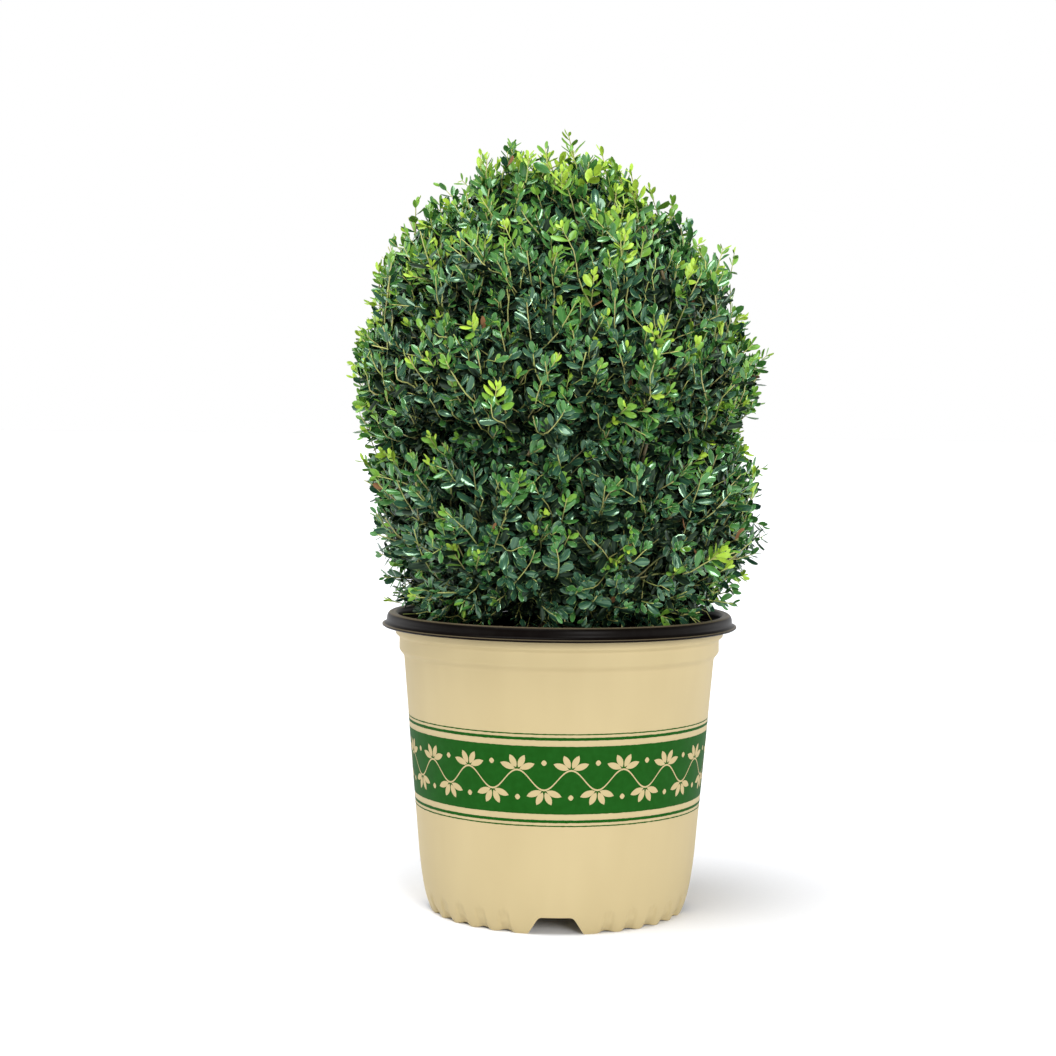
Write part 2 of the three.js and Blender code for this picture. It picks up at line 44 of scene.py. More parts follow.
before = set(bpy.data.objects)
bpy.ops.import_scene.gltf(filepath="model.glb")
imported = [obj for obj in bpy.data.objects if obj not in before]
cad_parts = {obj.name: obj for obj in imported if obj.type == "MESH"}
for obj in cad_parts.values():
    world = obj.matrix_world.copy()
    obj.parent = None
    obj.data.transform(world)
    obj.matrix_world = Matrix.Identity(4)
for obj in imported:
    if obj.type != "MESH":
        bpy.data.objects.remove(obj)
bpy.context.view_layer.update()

# Millimetres are the unit of the growth rule and the profiles, and MM turns them to metres.
MM = 0.001
BODY = "root"
MASSES = [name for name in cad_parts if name.startswith("foliage_")]

# The pot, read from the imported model, with the few sizes that its boxes don't hold
POT_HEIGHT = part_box("pot_rim")[1].z / MM
RIM_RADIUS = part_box("pot_rim")[1].x / MM
RIM_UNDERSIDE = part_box("pot_rim")[0].z / MM
WALL_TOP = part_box("pot_wall")[1].z / MM
FLARE_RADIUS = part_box("pot_wall")[1].x / MM
SOIL_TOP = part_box("root_ball")[1].z / MM
SOIL_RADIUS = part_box("root_ball")[1].x / MM
SOIL_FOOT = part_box("root_ball")[0].z / MM
SOIL_EDGE_DROP = 6
FOOT_EDGE_RADIUS = 99.2
FOOT_RADIUS = 106.3
TAPER_FOOT_HEIGHT = 16
FOOT_CORNER_HEIGHT = 50
FOOT_BEND = (105.6, 12)
FOOT_SLEEVE_INSET = 2
SKIRT_BORE_RADIUS = 95
SHOULDER_RADIUS = 122.5
SHOULDER_HEIGHT = 198
COLLAR_RADIUS = 126.4
COLLAR_HEIGHT = 204.5
FLARE_HEIGHT = 217.2
FLARE_FROM = 212.8
FLOOR_TOP = 16
UNDERSIDE = 14
FIT_GAP = 0.3
RIM_BORE_RADIUS = 127.2
RIM_BEAD_RADIUS = 136.6
RIM_LIP_HEIGHT = 2
RIM_GROOVE = 0.5
POT_STEPS = 768
RIM_STEPS = 192

# Drain notches and flutes in the pot's foot
NOTCH_COUNT = 4
NOTCH_WIDTH_AT_GROUND = 43
NOTCH_WIDTH_AT_TOP = 26
NOTCH_HEIGHT = 13.4
NOTCH_CORNER = 2.5
DRAIN_HOLE_RADIUS = 7
DRAIN_HOLE_CIRCLE = 86
FLUTE_PITCHES = 32
FLUTE_HALF_WIDTH = 4.7
FLUTE_DEPTH = 1.0
FLUTE_FLATNESS = 2.6
FLUTE_HEAD = 0.6
FLUTE_LIFT = 1.3
FLUTE_LIFT_FADE = 9
FLUTE_TOP_HEIGHT = 16
FOOT_TUCK = 2.2
PLAIN_PITCHES_BY_NOTCH = 2

# The crown's outline, its masses and the rule its twigs grow by, as in the solids
CROWN_RADIUS = 160
CROWN_WIDEST_HEIGHT = 390
CROWN_TOP_HEIGHT = 602
CROWN_BOTTOM_HEIGHT = 222
DOME_POWER = 2
SKIRT_POWER = 4
FURTHEST_REACH = 1.085
FORK_HEIGHT = 262
BARE_MIDDLE_HEIGHT = 330
TRUNK_FOOT_HEIGHT = SOIL_TOP + FIT_GAP
TRUNK_TIP_HEIGHT = 290
TRUNK_RADIUS = 10
TRUNK_TIP_RADIUS = 7.5
TRUNK_LEAN = 3
TRUNK_BEND = 16
ROOT_FLARE = 0.55
ROOT_FLARE_FADE = 7
BOUGH_RADIUS = 3.8
BOUGH_TIP_RADIUS = 2.4
BOUGH_SPREAD = 0.5
BOUGH_RISE = 0.25
BOUGH_STRAIGHT_END = 0.35
BOUGH_STOPS_SHORT = 3
MASS_RINGS = (
    {"name": "lower", "count": 5, "radius": 95, "height": 300, "turn": 18, "leaves_trunk_at": 243},
    {"name": "upper", "count": 5, "radius": 92, "height": 425, "turn": 54, "leaves_trunk_at": 262},
    {"name": "top", "count": 1, "radius": 0, "height": 520, "turn": 0, "leaves_trunk_at": TRUNK_TIP_HEIGHT},
)
TWIG_COUNT = 110
TWIG_ROOT_SHARE = 0.75
TWIG_ROOT_STEP = 0.1
FIRST_TWIG_AT = 0.1
TWIG_TIP_DEPTH = 23
TWIG_TIP_SPREAD = 8
TWIG_TURN_SPREAD = 0.2
LOWEST_TWIG_SLOPE = -0.9
GOLDEN_ANGLE = math.pi * (3 - math.sqrt(5))
SEED = 17
CLEAR_OF_RIM = 8
CLEAR_ABOVE_RIM = 1
CLEAR_ABOVE_SOIL = 3

# Each draw from the seeded rule has its own number
DRAW_NAMES = (
    "turn", "depth", "roll", "leaf_size", "start", "bend", "tint", "sprig", "pair_turn",
    "cup", "curl", "splay", "dead", "chip_turn", "chip_place", "chip_size", "tilt",
)
DRAW = {name: number for number, name in enumerate(DRAW_NAMES)}

# Values on the points of joined meshes, for their materials to read
MARGIN_ATTRIBUTE = "out_from_midrib"
# The stems' painted shade inside the crown, from 0 at the outline to 1 deep inside
STEM_SHADE_ATTRIBUTE = "painted_shade_inside_crown"


def linear(hex_colour):
    """An sRGB hex value as a linear colour with full alpha."""
    channels = [int(hex_colour[i : i + 2], 16) / 255 for i in (0, 2, 4)]
    turned = [c / 12.92 if c <= 0.04045 else ((c + 0.055) / 1.055) ** 2.4 for c in channels]
    return (*turned, 1.0)


def seeded(index, draw):
    """Numbers from 0 to 1 that depend only on their place in the growth rule."""
    wave = np.sin((np.asarray(index) + 1) * 127.1 + (DRAW[draw] + 1) * 311.7 + SEED) * 43758.5453
    return wave - np.floor(wave)


def stray_of(index, *draws):
    """A stray vector for each index, whose three parts are drawn from -0.5 to 0.5."""
    return np.stack([seeded(index, draw) - 0.5 for draw in draws], axis=-1)


def unit(vectors):
    """Vectors drawn out or in to a length of one."""
    return vectors / np.maximum(np.linalg.norm(vectors, axis=-1, keepdims=True), 1e-9)


# Pieces

def add_piece(name, mesh, material, replaced=()):
    """Puts a finished mesh into the scene as a piece of the plant or its pot."""
    mesh.materials.append(material)
    piece = bpy.data.objects.new(name, mesh)
    bpy.context.scene.collection.objects.link(piece)
    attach(piece, BODY)
    if replaced:
        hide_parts(*replaced)
    return piece


def mesh_of(bm, name, crease_degrees=None):
    """Turns a bmesh into a smooth mesh, with edges sharper than the given angle left sharp."""
    mesh = bpy.data.meshes.new(name)
    bm.to_mesh(mesh)
    bm.free()
    mesh.shade_smooth()
    if crease_degrees is not None:
        mesh.set_sharp_from_angle(angle=math.radians(crease_degrees))
    return mesh


def mesh_from_arrays(name, points, triangles, **values):
    """A mesh of many small joined shapes: points in millimetres, rows of three corners, point values."""
    mesh = bpy.data.meshes.new(name)
    mesh.vertices.add(len(points))
    mesh.vertices.foreach_set("co", (points * MM).astype(np.float32).ravel())
    mesh.loops.add(triangles.size)
    mesh.loops.foreach_set("vertex_index", triangles.astype(np.int32).ravel())
    mesh.polygons.add(len(triangles))
    mesh.polygons.foreach_set("loop_start", np.arange(0, triangles.size, 3, dtype=np.int32))
    mesh.update(calc_edges=True)
    mesh.shade_smooth()
    for attribute, value in values.items():
        mesh.attributes.new(attribute, "FLOAT", "POINT").data.foreach_set("value", value)
    return mesh


def welded(bm):
    """Merges the doubled vertices of a shape and turns its faces outwards."""
    bmesh.ops.remove_doubles(bm, verts=bm.verts, dist=1e-6)
    bmesh.ops.recalc_face_normals(bm, faces=bm.faces)
    return bm


def arc(start, corner, end, count):
    """Points of a round corner between two (radius, height) points, without its first."""
    start, corner, end = Vector(start), Vector(corner), Vector(end)
    steps = [i / count for i in range(1, count + 1)]
    return [tuple(start.lerp(corner, t).lerp(corner.lerp(end, t), t)) for t in steps]


def spun(profile, steps, closed):
    """Turns a profile of (radius, height) points, in millimetres, about the pot's axis."""
    bm = bmesh.new()
    ring = [bm.verts.new((0, -radius * MM, height * MM)) for radius, height in profile]
    pairs = list(zip(ring, ring[1:]))
    if closed:
        pairs.append((ring[-1], ring[0]))
    edges = [bm.edges.new(pair) for pair in pairs]
    bmesh.ops.spin(
        bm, geom=ring + edges, cent=(0, 0, 0), axis=(0, 0, 1), angle=2 * math.pi, steps=steps, use_merge=True
    )
    return welded(bm)


def cone_radius(height):
    """The outside of the pot's wall at a height on its straight taper."""
    up = (height - TAPER_FOOT_HEIGHT) / (SHOULDER_HEIGHT - TAPER_FOOT_HEIGHT)
    return FOOT_RADIUS + (SHOULDER_RADIUS - FOOT_RADIUS) * up


# Materials

def add_node(tree, kind, inputs, stops=(), **settings):
    """Adds a node with its settings and a ramp's stops, and links or sets its inputs."""
    node = tree.nodes.new(kind)
    for name, value in settings.items():
        setattr(node, name, value)
    for socket, value in inputs.items():
        if isinstance(value, bpy.types.NodeSocket):
            tree.links.new(value, node.inputs[socket])
        else:
            node.inputs[socket].default_value = value
    if stops:
        elements = node.color_ramp.elements
        for element, (position, colour) in zip(elements, (stops[0], stops[-1])):
            element.position = position
            element.color = colour
        for position, colour in stops[1:-1]:
            elements.new(position).color = colour
    return node


SHADER_SOCKETS = {"specular_ior_level": "Specular IOR Level", "specular_tint": "Specular Tint"}
BLACK = (0, 0, 0, 1)
WHITE = (1, 1, 1, 1)

# Where a Mix node of colours has its two colours and its result
MIX_FIRST = 6
MIX_SECOND = 7
MIX_RESULT = 2


def darker(colour, part):
    """A linear colour at part of its strength."""
    return (*(part * channel for channel in colour[:3]), 1)


def new_material(name, roughness, ior, **extra):
    """A material with its Principled shader's even values set on the shader's own sockets."""
    material = bpy.data.materials.new(name)
    material.use_nodes = True
    tree = material.node_tree
    shader = tree.nodes["Principled BSDF"]
    shader.inputs["Roughness"].default_value = roughness
    shader.inputs["IOR"].default_value = ior
    for socket, value in extra.items():
        shader.inputs[SHADER_SOCKETS[socket]].default_value = value
    return material, tree, shader


def object_noise(tree, size_mm, detail=3.0, stretch=(1, 1, 1)):
    """Noise on Object coordinates whose patches are about size_mm across."""
    place = add_node(tree, "ShaderNodeTexCoord", {}).outputs["Object"]
    scaled = add_node(tree, "ShaderNodeMapping", {"Vector": place, "Scale": stretch}).outputs["Vector"]
    inputs = {"Vector": scaled, "Scale": 1 / (size_mm * MM), "Detail": detail}
    return add_node(tree, "ShaderNodeTexNoise", inputs).outputs["Fac"]


def surface(tree, shader, colour, height=None, relief_mm=0.0, strength=1.0):
    """Gives a shader its pattern of colour and, from a height pattern, its fine relief."""
    tree.links.new(colour, shader.inputs["Base Color"])
    if height is not None:
        inputs = {"Height": height, "Distance": relief_mm * MM, "Strength": strength}
        tree.links.new(add_node(tree, "ShaderNodeBump", inputs).outputs["Normal"], shader.inputs["Normal"])


@functools.lru_cache(maxsize=None)
def moulded_polypropylene(colour, shade):
    """Injection-moulded polypropylene, pigmented cream: satin, with soft upright bands of pigment."""
    material, tree, shader = new_material("polypropylene_moulded_cream", 0.58, 1.49, specular_ior_level=0.35)
    bands = object_noise(tree, 30, 2.0, stretch=(1, 1, 0.25))
    base = add_node(tree, "ShaderNodeValToRGB", {"Fac": bands}, ((0.3, shade), (0.7, colour)))
    # A moulded wall has a fine orange peel, drawn here at 2 mm so that it shows
    surface(tree, shader, base.outputs["Color"], object_noise(tree, 2, 2.0), 0.02, 0.4)
    return material


@functools.lru_cache(maxsize=None)
def moulded_polyethylene(name, colour, dusty_colour, highlight_colour):
    """Brown-black polyethylene, rolled into a rim: satin, with painted highlights as paler bands along its
    crest and lower lip.
    """
    material, tree, shader = new_material(name, 0.35, 1.51, specular_ior_level=0.04)
    dust = object_noise(tree, 9, 4.0)
    base = add_node(tree, "ShaderNodeValToRGB", {"Fac": dust}, ((0.42, colour), (0.8, dusty_colour)))
    place = add_node(tree, "ShaderNodeTexCoord", {}).outputs["Object"]
    height = add_node(tree, "ShaderNodeSeparateXYZ", {"Vector": place}).outputs["Z"]
    limits = {"From Min": RIM_UNDERSIDE * MM, "From Max": POT_HEIGHT * MM}
    up = add_node(tree, "ShaderNodeMapRange", {"Value": height, **limits}).outputs["Result"]
    # Painted highlights: pale bands at the lower lip and along the crest, placed by height on the rim
    lip = ((0.0, BLACK), (0.13, BLACK), (0.15, WHITE), (0.17, WHITE), (0.2, BLACK))
    painted_highlights = add_node(tree, "ShaderNodeValToRGB", {"Fac": up}, (*lip, (0.9, BLACK), (0.98, WHITE)))
    inputs = {"Factor": painted_highlights.outputs["Color"], MIX_FIRST: base.outputs["Color"], MIX_SECOND: highlight_colour}
    mixed = add_node(tree, "ShaderNodeMix", inputs, data_type="RGBA").outputs[MIX_RESULT]
    surface(tree, shader, mixed, object_noise(tree, 4, 2.0), 0.03, 0.4)
    return material


@functools.lru_cache(maxsize=None)
def screen_print_ink(name, colour, thin_colour):
    """Screen printed ink on plastic: even, a little thinner in patches."""
    material, tree, shader = new_material(name, 0.6, 1.48, specular_ior_level=0.08)
    patches = object_noise(tree, 5, 4.0)
    base = add_node(tree, "ShaderNodeValToRGB", {"Fac": patches}, ((0.35, colour), (0.75, thin_colour)))
    surface(tree, shader, base.outputs["Color"], object_noise(tree, 1.2, 2.0), 0.01, 0.4)
    return material


@functools.lru_cache(maxsize=None)
def composted_bark(name, colour, pale_colour):
    """Composted bark and peat, moist: dull, dark and crumbly."""
    material, tree, shader = new_material(name, 0.92, 1.4)
    crumbs = object_noise(tree, 3, 5.0)
    base = add_node(tree, "ShaderNodeValToRGB", {"Fac": crumbs}, ((0.35, colour), (0.7, pale_colour)))
    surface(tree, shader, base.outputs["Color"], object_noise(tree, 1.5, 4.0), 0.4)
    return material


@functools.lru_cache(maxsize=None)
def box_bark(colour, furrow_colour):
    """The bark of box: pale corky ridges along the limb with darker furrows."""
    material, tree, shader = new_material("box_bark_ridged", 0.85, 1.45)
    ridges = object_noise(tree, 2.5, 4.0, stretch=(1, 1, 0.3))
    base = add_node(tree, "ShaderNodeValToRGB", {"Fac": ridges}, ((0.38, furrow_colour), (0.6, colour)))
    surface(tree, shader, base.outputs["Color"], ridges, 0.5)
    return material


@functools.lru_cache(maxsize=None)
def living_stem(name, colour, ripe_colour):
    """A box shoot's skin: green to tan and slightly waxy, darkened towards grey-brown deeper inside the crown
    as painted shade.
    """
    material, tree, shader = new_material(name, 0.5, 1.45)
    ripeness = object_noise(tree, 14, 2.0)
    skin = add_node(tree, "ShaderNodeValToRGB", {"Fac": ripeness}, ((0.35, colour), (0.65, ripe_colour)))
    inside = add_node(tree, "ShaderNodeAttribute", {}, attribute_name=STEM_SHADE_ATTRIBUTE)
    # Painted shade: the skin blends to a dark grey-brown the deeper it lies inside the crown
    inputs = {"Factor": inside.outputs["Fac"], MIX_FIRST: skin.outputs["Color"], MIX_SECOND: linear("2E2B1B")}
    shaded_inside = add_node(tree, "ShaderNodeMix", inputs, data_type="RGBA").outputs[MIX_RESULT]
    surface(tree, shader, shaded_inside, object_noise(tree, 1.5, 2.0), 0.05, 0.5)
    return material


@functools.lru_cache(maxsize=None)
def box_leaf(name, colour, rib_and_rim_colour, roughness, gloss, margin):
    """A box leaf's waxed skin: leathery, with a green gloss, a paler midrib and a paler margin that is partly
    a painted highlight along its curled edge.
    """
    wax = linear("C4EBC8")
    material, tree, shader = new_material(name, roughness, 1.55, specular_ior_level=gloss, specular_tint=wax)
    mottle = object_noise(tree, 5, 3.0)
    shades = ((0.3, darker(colour, 0.72)), (0.72, colour))
    blade = add_node(tree, "ShaderNodeValToRGB", {"Fac": mottle}, shades)
    across = add_node(tree, "ShaderNodeAttribute", {}, attribute_name=MARGIN_ATTRIBUTE).outputs["Fac"]
    # The margin's paleness is partly the leaf's own colour and partly a painted highlight along its curled
    # edge
    stops = ((0.0, darker(WHITE, 0.1 * margin)), (0.1, BLACK), (0.76, BLACK), (1.0, darker(WHITE, margin)))
    pale_rib_and_rim_highlight = add_node(tree, "ShaderNodeValToRGB", {"Fac": across}, stops)
    inputs = {"Factor": pale_rib_and_rim_highlight.outputs["Color"], MIX_FIRST: blade.outputs["Color"], MIX_SECOND: rib_and_rim_colour}
    surface(tree, shader, add_node(tree, "ShaderNodeMix", inputs, data_type="RGBA").outputs[MIX_RESULT])
    return material


# Settings

def colour_setting(name, description, hex_colour):
    return bpy.props.FloatVectorProperty(
        name=name, description=description, subtype="COLOR", size=4, min=0, max=1, default=linear(hex_colour)
    )


def length_setting(name, description, millimetres):
    length = millimetres * MM
    return bpy.props.FloatProperty(name=name, description=description, default=length, unit="LENGTH")


def angle_setting(name, description, degrees):
    angle = math.radians(degrees)
    return bpy.props.FloatProperty(name=name, description=description, default=angle, unit="ROTATION")


def strength_setting(name, description, strength):
    return bpy.props.FloatProperty(name=name, description=description, default=strength, min=0)


def count_setting(name, description, count):
    return bpy.props.IntProperty(name=name, description=description, default=count, min=4)


class PotSettings(bpy.types.PropertyGroup):
    """The pot's finish"""

    wall: length_setting("Wall", "Thickness of the moulded wall", 1.6)
    cream: colour_setting("Cream", "The moulded wall", "AC9C74")
    cream_shade: colour_setting("Cream shade", "The wall where its pigment is denser", "A89870")
    black: colour_setting("Black", "The rolled rim and the inside", "060302")
    black_dusty: colour_setting("Dusty black", "Dust on the rim", "0C0907")
    ink: colour_setting("Ink", "The printed band", "0D4306")
    ink_thin: colour_setting("Thin ink", "The printed band where the ink is thin", "124A0E")
    band_height: length_setting("Band", "Height of the printed band", 51)
    band_foot: length_setting("Band foot", "Lower edge of the printed band above the ground", 92.5)
    garland_waves: count_setting("Garland waves", "Waves of the printed garland round the pot", 18)


class CrownSettings(bpy.types.PropertyGroup):
    """How the crown is leafed"""

    branchlet_count: count_setting("Branchlets", "Side twigs that carry the leafy shoots", 900)
    leader_count: count_setting("Leaders", "Long shoots that run over the surface", 800)
    shoot_count: count_setting("Shoots", "Leafy shoots that reach the outline", 3000)
    leaf_length: length_setting("Leaf length", "Length of a full grown leaf", 13.8)
    leaf_width: length_setting("Leaf width", "Width of a full grown leaf", 5.9)
    pair_spacing: length_setting("Pair spacing", "From one pair of leaves to the next", 6.9)
    # Painted shade: the near-black colour of the leaves deep inside the crown
    painted_shade: colour_setting("Oldest leaves", "Leaves inside the crown", "0C1B12")
    dark: colour_setting("Old leaves", "Leaves of earlier years", "2B503C")
    middle: colour_setting("Grown leaves", "This year's grown leaves", "407437")
    fresh: colour_setting("Fresh leaves", "Leaves still paling green", "6F9D36")
    lime: colour_setting("Young leaves", "The youngest leaves", "A6C742")
    dead: colour_setting("Dead leaves", "The few dead leaves", "7E5638")
    # The pale midrib, and the pale margin, which is partly a painted highlight
    rib_and_rim: colour_setting("Midrib", "The pale midrib and margin", "9CBC6C")
    stem: colour_setting("Green stem", "The skin of a young shoot", "97A455")
    stem_ripe: colour_setting("Ripe stem", "The skin of a ripened shoot", "A09A62")


class StageSettings(bpy.types.PropertyGroup):
    """The camera and the lights"""

    lens: bpy.props.FloatProperty(name="Lens", description="Focal length", default=75.2, unit="CAMERA")
    distance: length_setting("Distance", "From the camera to the pot's axis", 1750)
    camera_height: length_setting("Camera height", "Camera above the ground", 387.5)
    shift: bpy.props.FloatVectorProperty(
        name="Shift", description="How far the level camera's picture is shifted, in widths", size=2,
        default=(-0.032, -0.1051),
    )
    roll: angle_setting("Roll", "How far the camera leans, as the photo is turned", 0.67)
    key_strength: strength_setting("Key", "Strength of the key light", 3.25)
    key_softness: angle_setting("Key softness", "How wide the key light looks", 44)
    fill_strength: strength_setting("Fill", "Strength of the fill light", 2.05)
    fill_softness: angle_setting("Fill softness", "How wide the fill light looks", 20)
    ceiling: strength_setting("Ceiling", "Even light from above", 0.26)
    side_panels: strength_setting("Side panels", "Extra light from the left and the right", 1.9)
    paper: colour_setting("Paper", "The floor and its sweep", "E8E9EC")


# The pot

FOOT_CORNER_STEPS = 18
CORNER_STEPS = 4
ABOVE_CORNER = (2, 6)
BELOW_SHOULDER = 3
STEP_ROUND = 0.3
STEP_ROUND_HEIGHT = 1.5
FLARE_ROUND = 0.2
FLARE_ROUND_HEIGHT = 1.2


def wall_outside():
    """The outside of the wall from the ground up: round foot, long taper, step, collar and flare."""
    points = [(FOOT_EDGE_RADIUS, 0)]
    corner = (cone_radius(FOOT_CORNER_HEIGHT), FOOT_CORNER_HEIGHT)
    points += arc(points[0], FOOT_BEND, corner, FOOT_CORNER_STEPS)
    taper_heights = [FOOT_CORNER_HEIGHT + rise for rise in ABOVE_CORNER] + [SHOULDER_HEIGHT - BELOW_SHOULDER]
    points += [(cone_radius(height), height) for height in taper_heights]
    points.append((SHOULDER_RADIUS, SHOULDER_HEIGHT))
    middle = ((SHOULDER_RADIUS + COLLAR_RADIUS) / 2, (SHOULDER_HEIGHT + COLLAR_HEIGHT) / 2)
    bends = (
        (SHOULDER_RADIUS + STEP_ROUND, SHOULDER_HEIGHT + STEP_ROUND_HEIGHT),
        (COLLAR_RADIUS - STEP_ROUND, COLLAR_HEIGHT - STEP_ROUND_HEIGHT),
    )
    points += arc(points[-1], bends[0], middle, CORNER_STEPS)
    points += arc(middle, bends[1], (COLLAR_RADIUS, COLLAR_HEIGHT), CORNER_STEPS)
    points.append((COLLAR_RADIUS, FLARE_FROM))
    middle = ((COLLAR_RADIUS + FLARE_RADIUS) / 2, (FLARE_FROM + FLARE_HEIGHT) / 2)
    bends = (
        (COLLAR_RADIUS + FLARE_ROUND, FLARE_FROM + FLARE_ROUND_HEIGHT),
        (FLARE_RADIUS - STEP_ROUND, FLARE_HEIGHT - FLARE_ROUND_HEIGHT),
    )
    points += arc(points[-1], bends[0], middle, CORNER_STEPS)
    points += arc(middle, bends[1], (FLARE_RADIUS - FLARE_ROUND, FLARE_HEIGHT), CORNER_STEPS)
    return points + [(FLARE_RADIUS, WALL_TOP)]


def sleeve(inwards, foot):
    """The wall's plainer inner line, or one further in, from a height near the floor up to the rim."""
    return [
        (FOOT_RADIUS - FOOT_SLEEVE_INSET - inwards, foot),
        (SHOULDER_RADIUS - inwards, SHOULDER_HEIGHT),
        (COLLAR_RADIUS - inwards, FLARE_HEIGHT),
        (FLARE_RADIUS - inwards, WALL_TOP),
    ]


def press_flutes(bm):
    """Presses shallow round-topped flutes into the foot's corner, with a wave in its lower edge."""
    pitch = 2 * math.pi / FLUTE_PITCHES
    notch_pitch = FLUTE_PITCHES // NOTCH_COUNT
    arch_middle = FLUTE_TOP_HEIGHT - FLUTE_HALF_WIDTH
    for vert in bm.verts:
        radius = math.hypot(vert.co.x, vert.co.y) / MM
        height = vert.co.z / MM
        if radius < SKIRT_BORE_RADIUS - 1 or height > FLUTE_TOP_HEIGHT:
            continue
        turn = math.atan2(vert.co.y, vert.co.x) + math.pi / 2
        nearest = round(turn / pitch)
        from_notch = min(nearest % notch_pitch, notch_pitch - nearest % notch_pitch)
        if from_notch < PLAIN_PITCHES_BY_NOTCH:
            continue
        wave = 0.5 + 0.5 * math.cos(2 * math.pi * (turn / pitch - nearest))
        near_ground = max(0, 1 - height / FLUTE_LIFT_FADE)
        if height < UNDERSIDE - 0.1:
            vert.co.z += FLUTE_LIFT * MM * wave * near_ground
        if radius < FOOT_EDGE_RADIUS - 1:
            continue
        over = max(height - arch_middle, 0) / FLUTE_HALF_WIDTH
        half_width = FLUTE_HALF_WIDTH * math.sqrt(max(1 - over * over, 0))
        sideways = abs(turn - nearest * pitch) * radius
        inwards = FOOT_TUCK * wave * near_ground
        if sideways < half_width:
            press = min(1, FLUTE_FLATNESS * (1 - (sideways / half_width) ** 2))
            inwards += FLUTE_DEPTH * min(1, half_width / (FLUTE_HEAD * FLUTE_HALF_WIDTH)) * press
        vert.co.x *= 1 - inwards / radius
        vert.co.y *= 1 - inwards / radius


def drain_cutter():
    """The four notches under the skirt and the drain holes behind them, as one cutting mesh."""
    bm = bmesh.new()
    half_foot, half_top = NOTCH_WIDTH_AT_GROUND / 2, NOTCH_WIDTH_AT_TOP / 2
    below = -1
    corners = [(-half_foot, below), (half_foot, below), (half_top, NOTCH_HEIGHT), (-half_top, NOTCH_HEIGHT)]
    verts = [bm.verts.new((x * MM, -DRAIN_HOLE_CIRCLE * MM, z * MM)) for x, z in corners]
    bm.faces.new(verts)
    bmesh.ops.bevel(
        bm, geom=verts[2:], offset=NOTCH_CORNER * MM, offset_type="OFFSET", segments=CORNER_STEPS,
        profile=0.5, affect="VERTICES", material=-1,
    )
    extruded = bmesh.ops.extrude_face_region(bm, geom=bm.faces[:])
    outer = [item for item in extruded["geom"] if isinstance(item, bmesh.types.BMVert)]
    bmesh.ops.translate(bm, verts=outer, vec=(0, -(RIM_RADIUS - DRAIN_HOLE_CIRCLE) * MM, 0))
    bmesh.ops.create_cone(
        bm, cap_ends=True, segments=24, radius1=DRAIN_HOLE_RADIUS * MM, radius2=DRAIN_HOLE_RADIUS * MM,
        depth=FLOOR_TOP * MM, matrix=Matrix.Translation((0, -DRAIN_HOLE_CIRCLE * MM, FLOOR_TOP * MM)),
    )
    bmesh.ops.spin(
        bm, geom=bm.verts[:] + bm.edges[:] + bm.faces[:], cent=(0, 0, 0), axis=(0, 0, 1),
        angle=2 * math.pi * (NOTCH_COUNT - 1) / NOTCH_COUNT, steps=NOTCH_COUNT - 1, use_duplicate=True,
    )
    bmesh.ops.recalc_face_normals(bm, faces=bm.faces)
    return mesh_of(bm, "drain_cutter")


def cut(piece, cutter_mesh, crease_degrees):
    """Cuts a piece with another mesh and keeps the result as the piece's own mesh."""
    cutter = bpy.data.objects.new(cutter_mesh.name, cutter_mesh)
    bpy.context.scene.collection.objects.link(cutter)
    modifier = piece.modifiers.new("drain", "BOOLEAN")
    modifier.operation = "DIFFERENCE"
    modifier.solver = "EXACT"
    modifier.object = cutter
    depsgraph = bpy.context.evaluated_depsgraph_get()
    finished = bpy.data.meshes.new_from_object(piece.evaluated_get(depsgraph))
    piece.modifiers.remove(modifier)
    bpy.data.objects.remove(cutter)
    piece.data = finished
    finished.shade_smooth()
    finished.set_sharp_from_angle(angle=math.radians(crease_degrees))


class BOXWOOD_OT_pot_wall(bpy.types.Operator):
    """Moulds the pot's cream wall, with its notched and fluted foot"""

    bl_idname = "boxwood.pot_wall"
    bl_label = "Pot wall"

    def execute(self, context):
        pot = context.scene.boxwood_pot
        profile = [(0, UNDERSIDE), (SKIRT_BORE_RADIUS, UNDERSIDE), (SKIRT_BORE_RADIUS, 0), *wall_outside()]
        profile += [*reversed(sleeve(pot.wall / MM, FLOOR_TOP)), (0, FLOOR_TOP)]
        bm = spun(profile, POT_STEPS, closed=False)
        press_flutes(bm)
        mesh = mesh_of(bm, "pot_wall_moulded")
        material = moulded_polypropylene(tuple(pot.cream), tuple(pot.cream_shade))
        piece = add_piece("pot_wall_moulded", mesh, material, ["pot_wall"])
        cut(piece, drain_cutter(), crease_degrees=32)
        return {"FINISHED"}


LIP_UNDERCUT = 0.8
LIP_ROUND = 0.6
GROOVE_SLOPE = 0.2
BORE_ROUND = 5
LINING_THICKNESS = 1


